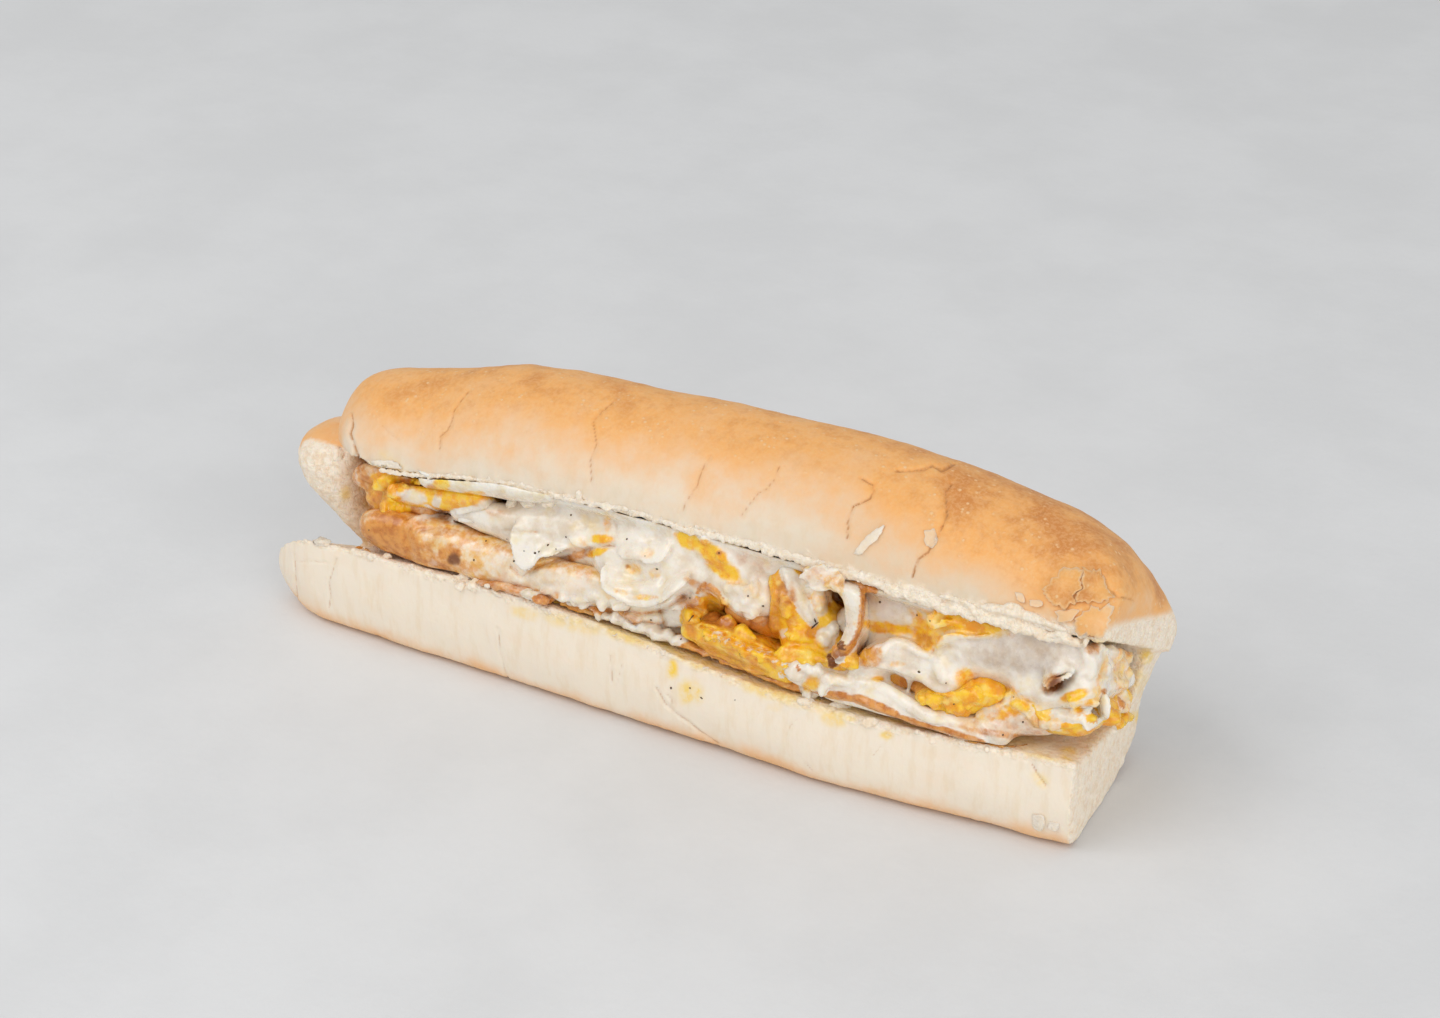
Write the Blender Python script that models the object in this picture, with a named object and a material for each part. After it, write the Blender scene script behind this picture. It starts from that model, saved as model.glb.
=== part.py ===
"""A breakfast sandwich: a long soft roll, cut across at its right end, hinged
along its back and opened over a filling of folded fried egg.

X runs along the roll with the cut end at +X, the open side faces -Y and Z is up.
Sizes below are in millimetres, and meshes are made in metres. The finished
sandwich is moved so that its origin lies on the table under its middle.
"""

import math

import bmesh
import bpy
from mathutils import Matrix, Vector

MM = 0.001
MIDDLE = (-0.2, 1.5)  # x and y of the sandwich's middle in the frame of these sizes
GAP = 0.3  # left between touching pieces
MARGIN = 0.5  # left between the filling and the bread
NARROWING = 1.6  # the mouth's height against the height of the space at its back

# The roll's halves and the uncut bread that joins them
LOWER_START, LOWER_END = -105.5, 98.0
UPPER_START, UPPER_END = -91.5, 101.0
HINGE_START, HINGE_END = -84.0, 98.0
LOWER_NOSE, UPPER_NOSE, HINGE_NOSE = 15.0, 17.0, 12.0
NOSE_POWER = 2.3  # 2 gives a round nose, and more a blunter one
CUT_REACH = 12.0  # length over which the lean of an end fades out
UPPER_CUT_LEAN = 0.10  # the upper half's cut end runs on by this much for each mm back
HINGE_CUT_LEAN = 0.28  # the hinge's cut end runs on by this much for each mm up
HINGE_LEAN_TOP = 19.0  # the height over which the hinge's cut end leans

# Profiles along the roll, as (x, value)
LOWER_LIP_Y = ((-105, -14.5), (-90, -18.4), (-40, -20.4), (40, -23.0), (98, -20.2))
LOWER_LIP_Z = ((-105, 18), (-88, 23.5), (-60, 24.4), (-20, 24.6), (40, 20.6), (98, 22.4))
LOWER_BACK_Y = ((-105, -2), (-90, 9.5), (-75, 16), (-30, 21.5), (40, 24), (98, 21))
LOWER_HINGE_INSET = 3.0  # from the back to the edge of the cut face
LOWER_HINGE_Z = ((-105, 8), (-88, 8), (-70, 12.5), (0, 13), (98, 14))
UPPER_LIP_Y = ((-91, -15.0), (-70, -17.5), (40, -18.5), (101, -17.5))
UPPER_LIP_Z = ((-91, 47), (-63, 48.0), (-35, 53.0), (30, 53.2), (75, 50.6), (101, 52.5))
UPPER_WIDTH = ((-91, 35), (-60, 43), (0, 46), (60, 46), (101, 44))
UPPER_THICK = (
    (-91, 21.5), (-75, 24), (-50, 28), (-20, 28.3), (45, 30.4),
    (70, 28.6), (84, 25.8), (93, 21.2), (98.5, 15.5), (101, 10.5),
)
UPPER_FACE = 0.94  # share of the width that the cut face takes
UPPER_END_PLACES = (83, 88, 93, 97, 99.5, 101)  # close sections where the dome falls to the cut
UPPER_TILT = ((-91, 32), (0, 35), (101, 33))
UPPER_SHOULDER = ((84, 0.22), (101, 0.10))  # how soon the dome reaches its height
HINGE_WALL_Y = ((-97, -8), (-84, -6), (-74, 3), (-55, 12), (70, 14), (98, 9.5))
HINGE_BULGE = ((-84, -0.5), (-60, 1.0), (80, 1.0), (98, -0.8))  # out from the halves' backs

# The torn bread that joins the halves at the left end, from its foot to its top:
# height, left end, right end, middle y and half width
TORN_END = (
    (9, -81, -73, 0, 5.0), (18, -87, -77, -1, 6.5), (26, -96, -80, -1.5, 8.0),
    (32, -101.5, -82, -1.5, 9.5), (37, -103.5, -82, -1.5, 10.0), (41, -102, -82, -1, 9.0),
    (43.5, -98.5, -84, -1, 6.5), (44.6, -95, -87, -1, 3.0),
)
TORN_SIDES = 16

# Relief in the crust. A place on a half is its x and its share of the way from the
# lip round the outside to the back edge.
CRACK_WIDTH, CRACK_DEPTH, CRACK_STEP = 1.1, 0.9, 3.0
CRACK_RISE = 0.5  # how far a crack's cutter stands out of the crust
CRACK_TIP = 0.2  # width and depth left at a crack's two tips
UPPER_CRACKS = (
    ((-55, 0.267), (-55, 0.154), (-56.5, 0.113), (-56, 0.075)),
    ((-19.5, 0.283), (-21.5, 0.212), (-18, 0.15), (-18.5, 0.108), (-16.5, 0.046)),
    ((8, 0.192), (7.5, 0.104), (5.5, 0.035)),
    ((23.5, 0.208), (24, 0.175), (21.5, 0.129), (19, 0.062)),
    ((41.5, 0.237), (45, 0.212), (42, 0.163), (43, 0.083)),
    ((47.5, 0.292), (52.5, 0.329), (53.5, 0.354), (57, 0.388)),
    ((59, 0.308), (60, 0.254), (61.5, 0.175), (60.5, 0.113), (58.5, 0.046)),
)
LOWER_CRACKS = (
    ((-96.5, 0.083), (-96, 0.208), (-96.5, 0.367)),
    ((-83.5, 0.058), (-85.5, 0.175), (-86.5, 0.317)),
    ((88.5, 0.025), (90, 0.054), (92, 0.083)),
)
FLAKE_RISE, FLAKE_ROOT = 0.6, 1.2  # how far a flake stands out of the crust, and goes in
FLAKE_TOP = 0.5  # the flat top's share of a flake's width
FLAKES = (
    ((86, 0.1), (88.5, 0.183), (92, 0.192), (93, 0.158), (93, 0.096), (89, 0.079)),
    ((94, 0.087), (93.6, 0.2), (95.5, 0.208), (98.5, 0.167), (98.8, 0.14), (97, 0.105)),
    ((89.2, 0.062), (94, 0.071), (93.5, 0.029)),
    ((44.5, 0.05), (49.4, 0.14), (50.8, 0.138), (48.8, 0.09), (46, 0.05)),
)

BREAD = ("bread", (0.78, 0.52, 0.27), 0.6)
WHITE = ("egg_white", (0.83, 0.78, 0.70), 0.35)
YOLK = ("egg_yolk", (0.80, 0.48, 0.03), 0.35)
BROWNED = ("browned_egg", (0.72, 0.38, 0.12), 0.45)

# The filling, front pieces first, because each is cut clear of those before it:
# name, finish, how far its front edge lies behind the lips, and the centre line of
# that edge as rows of x, height above the lower lip and half thickness.
FILLING = (
    (
        "curled_strip", BROWNED, -2.5,
        ((39, 28.6, 1.3), (44.5, 29.2, 1.5), (48.2, 26.5, 1.7), (49.6, 20.5, 1.8), (47.6, 13.5, 2.3)),
    ),
    (
        "white_strip", WHITE, -1.0,
        ((-58, 21.8, 1.5), (-46, 24.2, 1.8), (-33, 25.8, 1.8), (-27, 26.6, 1.2)),
    ),
    ("omelette_slab", YOLK, -1.0, ((8, 6.8, 2.7), (15.5, 7.2, 4.0), (25, 6.4, 3.5), (34, 5.6, 2.0))),
    (
        "lower_sheet", WHITE, -1.5,
        ((33.5, 6.0, 2.3), (39.5, 6.0, 3.8), (48, 5.5, 3.8), (60, 4.2, 3.2), (71, 3.4, 2.6), (82, 2.9, 1.8)),
    ),
    (
        "white_ribbons", WHITE, 0.0,
        ((48.5, 11.5, 2.6), (54, 15.2, 4.0), (61.5, 14.9, 4.6), (69, 13.2, 4.0)),
    ),
    ("yellow_crumble", YOLK, 0.0, ((63.5, 7.4, 2.2), (70, 8.8, 4.0), (77.5, 12, 3.8))),
    ("end_swirl", WHITE, 0.0, ((84.5, 14.2, 3.6), (90.5, 15.8, 5.6), (95.5, 17.4, 6.2))),
    (
        "big_white_fold", WHITE, 0.5,
        ((66.5, 21.8, 5.8), (72, 21.0, 8.6), (80, 21.6, 8.6), (87, 22.6, 6.8), (92, 23.0, 4.8)),
    ),
    ("brown_bits", BROWNED, 1.0, ((-46, 1.9, 1.2), (-37, 2.4, 1.8), (-27, 2.4, 1.5))),
    (
        "browned_fold", BROWNED, 2.5,
        (
            (-74.5, 7.4, 4.6), (-67, 7.4, 6.4), (-56.5, 7.2, 6.8),
            (-44.5, 7.0, 6.4), (-30, 7.4, 5.6), (-18, 8.6, 4.0),
        ),
    ),
    ("curd_mass", WHITE, -0.5, ((-12.5, 15.6, 6.4), (-7, 17.4, 10.0), (0, 19.2, 10.4), (6.5, 20.2, 7.6))),
    ("yolk_band", YOLK, 1.0, ((2.5, 27.6, 1.8), (8, 27, 3.2), (14.5, 26, 3.4), (21, 24.5, 2.4))),
    ("crumbly_tip", WHITE, 0.5, ((14.0, 19.6, 3.8), (19.3, 19.1, 6.2), (24.0, 19.4, 4.4))),
    ("yolk_pocket", YOLK, 2.0, ((-68.5, 16.6, 1.8), (-58.5, 18.0, 2.8), (-46, 20.2, 2.0))),
    ("yolk_cone", YOLK, 1.0, ((29.0, 26.5, 3.6), (31.5, 22, 6.6), (34.7, 17, 8.4), (38, 12.6, 6.2))),
    ("white_veil", WHITE, 2.5, ((12, 29.2, 1.6), (18, 28.4, 3.0), (27, 28.4, 2.8))),
    ("end_yolk", YOLK, 1.5, ((88, 8.2, 3.2), (93, 8.8, 4.2), (96, 9.2, 4.4))),
    ("beige_egg", WHITE, 1.5, ((77.5, 6.8, 4.2), (84, 7.4, 5.4), (89, 8.0, 5.0))),
    (
        "white_sheet", WHITE, 3.0,
        ((-53, 17.0, 2.4), (-41, 16.8, 5.4), (-28, 17.6, 8.2), (-15, 19, 9.4), (-8, 21, 7.6)),
    ),
    ("back_white", WHITE, 4.5, ((50, 25.0, 4.2), (55, 24.8, 6.2), (66, 25.4, 5.8), (79, 26.6, 2.2))),
    ("lower_curds", WHITE, 2.0, ((-25, 3.4, 2.2), (-15, 4.6, 4.0), (-5, 6.4, 5.4), (7, 10, 4.4))),
    ("end_white", WHITE, 2.0, ((90.5, 26.0, 2.6), (93.5, 25.4, 3.2), (96.5, 25.2, 3.2))),
    ("torn_brown", BROWNED, 5.0, ((-76.5, 13.0, 2.6), (-70, 13.4, 3.4), (-62.5, 14.4, 2.6))),
)
RIM_ANGLES = (-90, -54, -18, 18, 54, 90)  # round the front edge of a fold, in degrees
FOLD_END_REACH, FOLD_END_SIZE = 0.8, 0.5  # an end's run past the last row, and its thickness
STEPS_A_ROW = 3  # cross-sections from one row of a fold to the next
RIPPLE, RIPPLE_LENGTH = 0.06, 7.0  # share of the half thickness, and length along the fold


def along(knots, x):
    """The value at x of the smooth curve through (x, value) knots."""
    if x <= knots[0][0]:
        return knots[0][1]
    if x >= knots[-1][0]:
        return knots[-1][1]

    def slope(index):
        before, after = knots[max(index - 1, 0)], knots[min(index + 1, len(knots) - 1)]
        return (after[1] - before[1]) / (after[0] - before[0])

    index = max(i for i in range(len(knots) - 1) if knots[i][0] <= x)
    (x0, v0), (x1, v1) = knots[index], knots[index + 1]
    span = x1 - x0
    return hermite(v0, v1, slope(index) * span, slope(index + 1) * span, (x - x0) / span)


def hermite(start, end, leave, arrive, t):
    """A cubic from start to end with the given end slopes."""
    return (
        start * (1 + 2 * t) * (1 - t) ** 2
        + end * t * t * (3 - 2 * t)
        + leave * t * (1 - t) ** 2
        - arrive * t * t * (1 - t)
    )


def outline(points, steps):
    """A closed outline through points, with steps sides to each stretch.

    A point is (a, b), where the outline is round, or (a, b, True), where it has a corner.
    """
    count = len(points)
    places = [Vector(point[:2]) for point in points]
    corner = [len(point) > 2 for point in points]
    result = []
    for i in range(count):
        j = (i + 1) % count
        chord = places[j] - places[i]
        leave = chord if corner[i] else (places[j] - places[i - 1]) / 2
        arrive = chord if corner[j] else (places[(j + 1) % count] - places[i]) / 2
        leave = leave.normalized() * min(leave.length, chord.length)
        arrive = arrive.normalized() * min(arrive.length, chord.length)
        sides = 1 if corner[i] and corner[j] else steps
        for step in range(sides):
            result.append(hermite(places[i], places[j], leave, arrive, step / sides))
    return result


def stations(start, end, nose, count):
    """X places from start to end, close together on a round nose at the start."""
    steps = 6
    tip = [start + 0.02 * nose] if nose else []
    tip += [start + nose * (1 - math.cos(math.pi / 2 * i / steps)) for i in range(1, steps) if nose]
    body = start + nose
    return tip + [body + (end - body) * i / count for i in range(count + 1)]


def nose_scale(x, start, nose):
    """How much of the full section is left at x on a round nose."""
    reach = min(max((x - start) / nose, 0.0), 1.0)
    return (1 - (1 - reach) ** NOSE_POWER) ** (1 / NOSE_POWER)


def lower_plane(x):
    """The lower half's cut face at x: its lip and its edge at the hinge, as (y, z)."""
    lip = Vector((along(LOWER_LIP_Y, x), along(LOWER_LIP_Z, x)))
    return lip, Vector((along(LOWER_BACK_Y, x) - LOWER_HINGE_INSET, along(LOWER_HINGE_Z, x)))


def upper_plane(x):
    """The upper half's cut face at x: its lip and its edge at the hinge, as (y, z)."""
    tilt = math.radians(along(UPPER_TILT, x))
    lip = Vector((along(UPPER_LIP_Y, x), along(UPPER_LIP_Z, x)))
    reach = along(UPPER_WIDTH, x) * UPPER_FACE
    return lip, lip + Vector((math.cos(tilt), -math.sin(tilt))) * reach


def lower_section(x):
    """The lower half's outline at x, flat underneath, as (y, z) points."""
    lip, hinge = lower_plane(x)
    back = along(LOWER_BACK_Y, x)
    width = back - lip.x
    points = outline(
        (
            (lip.x, lip.y, True),
            (lip.x - 1.4, lip.y * 0.52),
            (lip.x + 0.2, 2.4),
            (lip.x + 4.0, 0.0, True),
            (lip.x + width * 0.66, 0.0, True),
            (back - 2.5, hinge.y * 0.30),
            (back, hinge.y * 0.80),
            (hinge.x, hinge.y, True),
        ),
        4,
    )
    scale = nose_scale(x, LOWER_START, LOWER_NOSE)
    centre = Vector((lip.x + width * 0.3, lip.y * 0.55))
    return [centre + (point - centre) * scale for point in points]


def upper_section(x):
    """The upper half's outline at x, domed over its tilted cut face, as (y, z) points."""
    width, thick = along(UPPER_WIDTH, x), along(UPPER_THICK, x)
    shoulder = along(UPPER_SHOULDER, x)
    local = outline(
        (
            (0.0, 0.0, True),
            (-1.2, thick * 0.22),
            (shoulder * 7.0, thick * 0.60),
            (width * shoulder, thick * 0.92),
            (width * 0.48, thick),
            (width * 0.78, thick * 0.84),
            (width * 0.97, thick * 0.45),
            (width * UPPER_FACE, 0.0, True),
        ),
        4,
    )
    lip, hinge = upper_plane(x)
    inward = (hinge - lip).normalized()
    outward = Vector((-inward.y, inward.x))
    scale = nose_scale(x, UPPER_START, UPPER_NOSE)
    centre = Vector((width * 0.5, thick * 0.4))
    result = []
    for point in local:
        point = centre + (point - centre) * scale
        result.append(lip + inward * point.x + outward * point.y)
    return result


def height_on(plane, y):
    """The height at y of the straight face through a (y, z) pair."""
    lip, hinge = plane
    return lip.y + (y - lip.x) * (hinge.y - lip.y) / (hinge.x - lip.x)


def hinge_section(x):
    """The uncut bread that joins the halves at their backs, as (y, z) points."""
    low, high = lower_plane(x), upper_plane(x)
    low_back = max(lower_section(x), key=lambda point: point.x)
    high_back = max(upper_section(x), key=lambda point: point.x)
    wall = along(HINGE_WALL_Y, x)
    bulge = Vector((along(HINGE_BULGE, x), 0.0))
    points = outline(
        (
            (wall, height_on(low, wall) - 2.0, True),
            (low_back.x - 5.0, low_back.y - 1.0, True),
            (low_back.x - 0.4, low_back.y + 1.0),
            tuple(low_back.lerp(high_back, 0.35) + bulge),
            tuple(low_back.lerp(high_back, 0.7) + bulge),
            (high_back.x - 0.4, high_back.y - 1.0),
            (high_back.x - 5.0, high_back.y + 1.0, True),
            (wall, height_on(high, wall) + 3.0, True),
        ),
        3,
    )
    scale = nose_scale(x, HINGE_START, HINGE_NOSE)
    return [Vector((wall + (point.x - wall) * scale, point.y)) for point in points]


def torn_end_rings():
    """Level rings round the torn bread at the left end, from its foot to its top."""
    angles = [math.tau * side / TORN_SIDES for side in range(TORN_SIDES)]
    rings = []
    for height, left, right, middle, half_width in TORN_END:
        centre, half_length = (left + right) / 2, (right - left) / 2
        rings.append(
            [
                (centre + half_length * math.cos(a), middle + half_width * math.sin(a), height)
                for a in angles
            ]
        )
    return rings


def on_crust(section, shift, x, share):
    """The point of a half's outside at x, at a share of the way from lip to back edge."""
    points = section(x)
    lengths = [(after - before).length for before, after in zip(points, points[1:])]
    left = share * sum(lengths)
    index = 0
    while left > lengths[index] and index < len(lengths) - 1:
        left -= lengths[index]
        index += 1
    point = points[index].lerp(points[index + 1], left / lengths[index])
    return Vector((x + (shift(x, point, points[0]) if shift else 0.0), point.x, point.y))


def crust_frame(section, shift, x, share):
    """A place on the crust and the way out of the bread there."""
    place = on_crust(section, shift, x, share)
    run = on_crust(section, shift, x + 0.5, share) - on_crust(section, shift, x - 0.5, share)
    below = max(share - 0.01, 0.0)
    rise = on_crust(section, shift, x, share + 0.01) - on_crust(section, shift, x, below)
    out = run.cross(rise).normalized()
    return place, out if section is upper_section else -out


def crack_rings(section, shift, path):
    """Three-sided rings along a crack, wide at the crust and sharp at its bottom."""
    spots = []
    for (x0, share0), (x1, share1) in zip(path, path[1:]):
        length = (on_crust(section, shift, x1, share1) - on_crust(section, shift, x0, share0)).length
        steps = max(1, round(length / CRACK_STEP))
        for i in range(steps):
            t = i / steps
            spots.append((x0 + (x1 - x0) * t, share0 + (share1 - share0) * t))
    spots.append(path[-1])
    frames = [crust_frame(section, shift, *spot) for spot in spots]
    rings = []
    for i, (place, out) in enumerate(frames):
        way = frames[min(i + 1, len(frames) - 1)][0] - frames[max(i - 1, 0)][0]
        size = CRACK_TIP if i in (0, len(frames) - 1) else 1.0
        side = out.cross(way).normalized() * CRACK_WIDTH * size * (1 + CRACK_RISE / CRACK_DEPTH) / 2
        top = place + out * CRACK_RISE
        rings.append([top + side, place - out * CRACK_DEPTH * size, top - side])
    return rings


def flake_rings(corners):
    """Rings of a raised plate of crust: its root, its rim and its flat top."""
    frames = [crust_frame(upper_section, upper_shift, *corner) for corner in corners]
    count = len(corners)
    middle = sum((Vector(corner) for corner in corners), Vector((0.0, 0.0))) / count
    top = []
    for corner in corners:
        place, out = crust_frame(upper_section, upper_shift, *middle.lerp(Vector(corner), FLAKE_TOP))
        top.append(place + out * FLAKE_RISE)
    root = [place - out * FLAKE_ROOT for place, out in frames]
    rim = [place + out * FLAKE_RISE for place, out in frames]
    return [root, rim, top]


def tube_between(rings):
    """A closed mesh through rings of points, with a cap on each end."""
    mesh = bmesh.new()
    loops = [[mesh.verts.new(Vector(point) * MM) for point in ring] for ring in rings]
    for ring, following in zip(loops, loops[1:]):
        for i, vert in enumerate(ring):
            after = (i + 1) % len(ring)
            mesh.faces.new((vert, ring[after], following[after], following[i]))
    mesh.faces.new(loops[0])
    mesh.faces.new(loops[-1])
    bmesh.ops.recalc_face_normals(mesh, faces=mesh.faces)
    bmesh.ops.triangulate(mesh, faces=mesh.faces)
    return mesh


def new_object(name, mesh, collection):
    """Links an object made of a bmesh, which is used up."""
    data = bpy.data.meshes.new(name)
    mesh.to_mesh(data)
    mesh.free()
    obj = bpy.data.objects.new(name, data)
    collection.objects.link(obj)
    return obj


def new_cutter(name, mesh, collection):
    """An object that only cuts or joins others, and so isn't rendered."""
    obj = new_object(name, mesh, collection)
    obj.hide_render = True
    obj.display_type = "WIRE"
    return obj


def loft(places, section, shift=None):
    """A closed mesh through the section at each x, whose points may shift along the roll."""
    rings = []
    for x in places:
        points = section(x)
        ring = []
        for point in points:
            run = shift(x, point, points[0]) if shift else 0.0
            ring.append((x + run, point.x, point.y))
        rings.append(ring)
    return tube_between(rings)


def upper_shift(x, point, lip):
    """How far the upper half's cut end leans on towards +X at a point."""
    fade = max(0.0, 1.0 + (x - UPPER_END) / CUT_REACH)
    return UPPER_CUT_LEAN * fade * (point.x - lip.x)


def hinge_shift(x, point, lip):
    """How far the hinge's cut end runs on towards +X with height."""
    height = min(max(0.0, point.y - LOWER_HINGE_Z[-1][1]), HINGE_LEAN_TOP)
    fade = max(0.0, 1.0 + (x - HINGE_END) / CUT_REACH)
    return height * HINGE_CUT_LEAN * fade


def filling_point(x, height, depth, grow=0.0):
    """A point of the filling: height above the lower lip, depth behind the lips."""
    low, high = lower_plane(x), upper_plane(x)
    mouth = high[0].y - low[0].y
    margin = (MARGIN - grow) / mouth * NARROWING
    share = min(max(height / mouth, margin), 1 - margin)
    under = low[0] + (low[1] - low[0]).normalized() * depth
    over = high[0] + (high[1] - high[0]).normalized() * depth
    point = under.lerp(over, share)
    return (x, point.x, point.y)


def cavity_depth(x):
    """The depth from the lips to the uncut bread at x."""
    lip, hinge = lower_plane(x)
    return along(HINGE_WALL_Y, x) - lip.x - MARGIN


def centre_line(rows):
    """Places along a fold's front edge as (x, height, half thickness), with small ends."""
    spots = []
    last = len(rows) - 1
    for i in range(last):
        for step in range(STEPS_A_ROW):
            t = i + step / STEPS_A_ROW
            columns = ([(k, row[axis]) for k, row in enumerate(rows)] for axis in range(3))
            spots.append([along(column, t) for column in columns])
    spots.append(list(rows[last]))
    first_way = Vector(rows[0][:2]) - Vector(rows[1][:2])
    last_way = Vector(rows[-1][:2]) - Vector(rows[-2][:2])
    start = Vector(rows[0][:2]) + first_way.normalized() * rows[0][2] * FOLD_END_REACH
    end = Vector(rows[-1][:2]) + last_way.normalized() * rows[-1][2] * FOLD_END_REACH
    first = (*start, rows[0][2] * FOLD_END_SIZE)
    return [first] + spots + [(*end, rows[-1][2] * FOLD_END_SIZE)]


def fold_rings(rows, front, grow):
    """Rings of points for a fold that runs from its front edge back to the hinge."""
    spots = centre_line(rows)
    rings = []
    for i, (x, height, half) in enumerate(spots):
        before, after = spots[max(i - 1, 0)], spots[min(i + 1, len(spots) - 1)]
        way = (Vector(after[:2]) - Vector(before[:2])).normalized()
        across = Vector((-way.y, way.x))
        half *= 1 + RIPPLE * math.sin(math.tau * (x + height) / RIPPLE_LENGTH)
        at_end = i in (0, len(spots) - 1)
        nose = front + (half if at_end else 0.0) - grow
        half += grow
        place = Vector((x, height)) + (way * grow * (1 if i else -1) if at_end else Vector((0, 0)))
        ring = []
        for angle in RIM_ANGLES:
            side = place + across * half * math.sin(math.radians(angle))
            depth = nose + half * (1 - math.cos(math.radians(angle)))
            ring.append(filling_point(side.x, side.y, depth, grow))
        for turn in (1, -1):
            side = place + across * half * turn
            back = cavity_depth(side.x) + grow
            ring.append(filling_point(side.x, side.y, back, grow))
        rings.append(ring)
    return rings


def finish_material(finish):
    """The material of a finish: its name, colour and roughness."""
    name, colour, roughness = finish
    material = bpy.data.materials.get(name) or bpy.data.materials.new(name)
    material.use_nodes = True
    shader = material.node_tree.nodes["Principled BSDF"]
    shader.inputs["Base Color"].default_value = (*colour, 1.0)
    shader.inputs["Roughness"].default_value = roughness
    shader.inputs["Metallic"].default_value = 0.0
    return material


def apply_boolean(obj, others, operation):
    """Joins or cuts obj with every object of a collection, which is then emptied."""
    boolean = obj.modifiers.new(operation.lower(), "BOOLEAN")
    boolean.operation = operation
    boolean.operand_type = "COLLECTION"
    boolean.collection = others
    boolean.solver = "EXACT"
    graph = bpy.context.evaluated_depsgraph_get()
    graph.update()
    result = bpy.data.meshes.new_from_object(obj.evaluated_get(graph))
    obj.modifiers.clear()
    obj.data = result
    for other in list(others.objects):
        bpy.data.objects.remove(other)


def keep_largest_piece(obj):
    """Drops the scraps that a cut leaves beside the main piece."""
    mesh = bmesh.new()
    mesh.from_mesh(obj.data)
    left = set(mesh.faces)
    pieces = []
    while left:
        stack, piece = [left.pop()], []
        while stack:
            face = stack.pop()
            piece.append(face)
            for edge in face.edges:
                for other in edge.link_faces:
                    if other in left:
                        left.remove(other)
                        stack.append(other)
        pieces.append(piece)
    pieces.sort(key=lambda piece: sum(face.calc_area() for face in piece), reverse=True)
    for piece in pieces[1:]:
        bmesh.ops.delete(mesh, geom=piece, context="FACES")
    loose = [vert for vert in mesh.verts if not vert.link_faces]
    bmesh.ops.delete(mesh, geom=loose, context="VERTS")
    mesh.to_mesh(obj.data)
    mesh.free()


def make_roll(collection, cutters):
    """The roll, one body: two halves, the bread that joins them, and the crust's relief."""
    lower_places = stations(LOWER_START, LOWER_END, LOWER_NOSE, 16)
    upper_places = stations(UPPER_START, UPPER_END_PLACES[0], UPPER_NOSE, 12)
    hinge_places = stations(HINGE_START, HINGE_END, HINGE_NOSE, 12)
    roll = new_object("roll", loft(lower_places, lower_section), collection)
    upper_places += UPPER_END_PLACES[1:]
    new_cutter("upper_half", loft(upper_places, upper_section, upper_shift), cutters)
    new_cutter("hinge", loft(hinge_places, hinge_section, hinge_shift), cutters)
    new_cutter("torn_end", tube_between(torn_end_rings()), cutters)
    for corners in FLAKES:
        new_cutter("flake", tube_between(flake_rings(corners)), cutters)
    apply_boolean(roll, cutters, "UNION")
    for path in UPPER_CRACKS:
        new_cutter("crack", tube_between(crack_rings(upper_section, upper_shift, path)), cutters)
    for path in LOWER_CRACKS:
        new_cutter("crack", tube_between(crack_rings(lower_section, None, path)), cutters)
    apply_boolean(roll, cutters, "DIFFERENCE")
    keep_largest_piece(roll)
    roll.data.materials.clear()
    roll.data.materials.append(finish_material(BREAD))


def make_filling(collection, cutters):
    """The folded egg, each fold cut clear of those in front of it."""
    for index, (name, finish, front, rows) in enumerate(FILLING):
        obj = new_object(name, tube_between(fold_rings(rows, front, 0.0)), collection)
        for other, _, other_front, other_rows in FILLING[:index]:
            grown = tube_between(fold_rings(other_rows, other_front, GAP))
            new_cutter("cut_" + other, grown, cutters)
        if index:
            apply_boolean(obj, cutters, "DIFFERENCE")
        keep_largest_piece(obj)
        obj.data.materials.clear()
        obj.data.materials.append(finish_material(finish))


def main():
    """Clears the scene and makes the sandwich in a collection of its own."""
    for obj in list(bpy.data.objects):
        bpy.data.objects.remove(obj)
    collection = bpy.data.collections.new("breakfast_sandwich")
    cutters = bpy.data.collections.new("cutters")
    for group in (collection, cutters):
        bpy.context.scene.collection.children.link(group)
    cutters.hide_render = True
    make_roll(collection, cutters)
    make_filling(collection, cutters)
    bpy.data.collections.remove(cutters)
    to_origin = Matrix.Translation(Vector((-MIDDLE[0], -MIDDLE[1], 0.0)) * MM)
    for obj in collection.objects:
        obj.data.transform(to_origin)
        obj.data.shade_smooth()


main()
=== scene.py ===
"""The looks of a breakfast sandwich: a long soft roll opened over folded fried egg.

Lengths are in millimetres in the roll's own frame, as in the solids' source, and meshes
are made in metres. Places read from the photograph are pixels of its 1440 x 1018 frame.
"""

import logging
import math
from dataclasses import dataclass
from enum import Enum

import bmesh
import bpy
import numpy as np
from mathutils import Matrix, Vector
from mathutils.bvhtree import BVHTree
from mathutils.kdtree import KDTree


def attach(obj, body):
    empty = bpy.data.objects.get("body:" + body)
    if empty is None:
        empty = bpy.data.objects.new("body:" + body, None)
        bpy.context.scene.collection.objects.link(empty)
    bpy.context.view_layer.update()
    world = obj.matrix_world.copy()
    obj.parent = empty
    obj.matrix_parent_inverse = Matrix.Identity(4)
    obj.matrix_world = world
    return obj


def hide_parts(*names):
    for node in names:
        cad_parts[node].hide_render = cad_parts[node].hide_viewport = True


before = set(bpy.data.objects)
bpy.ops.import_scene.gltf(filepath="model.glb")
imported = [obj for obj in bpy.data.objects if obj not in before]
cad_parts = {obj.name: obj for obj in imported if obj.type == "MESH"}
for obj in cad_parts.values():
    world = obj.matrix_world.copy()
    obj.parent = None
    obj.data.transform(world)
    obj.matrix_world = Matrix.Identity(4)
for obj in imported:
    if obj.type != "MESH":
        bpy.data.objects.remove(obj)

Array = np.ndarray
Knots = tuple[tuple[float, float], ...]
Pixel = tuple[float, float]
Path = tuple[Pixel, ...]
Row = tuple[float, ...]
Triple = tuple[float, float, float]
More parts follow.
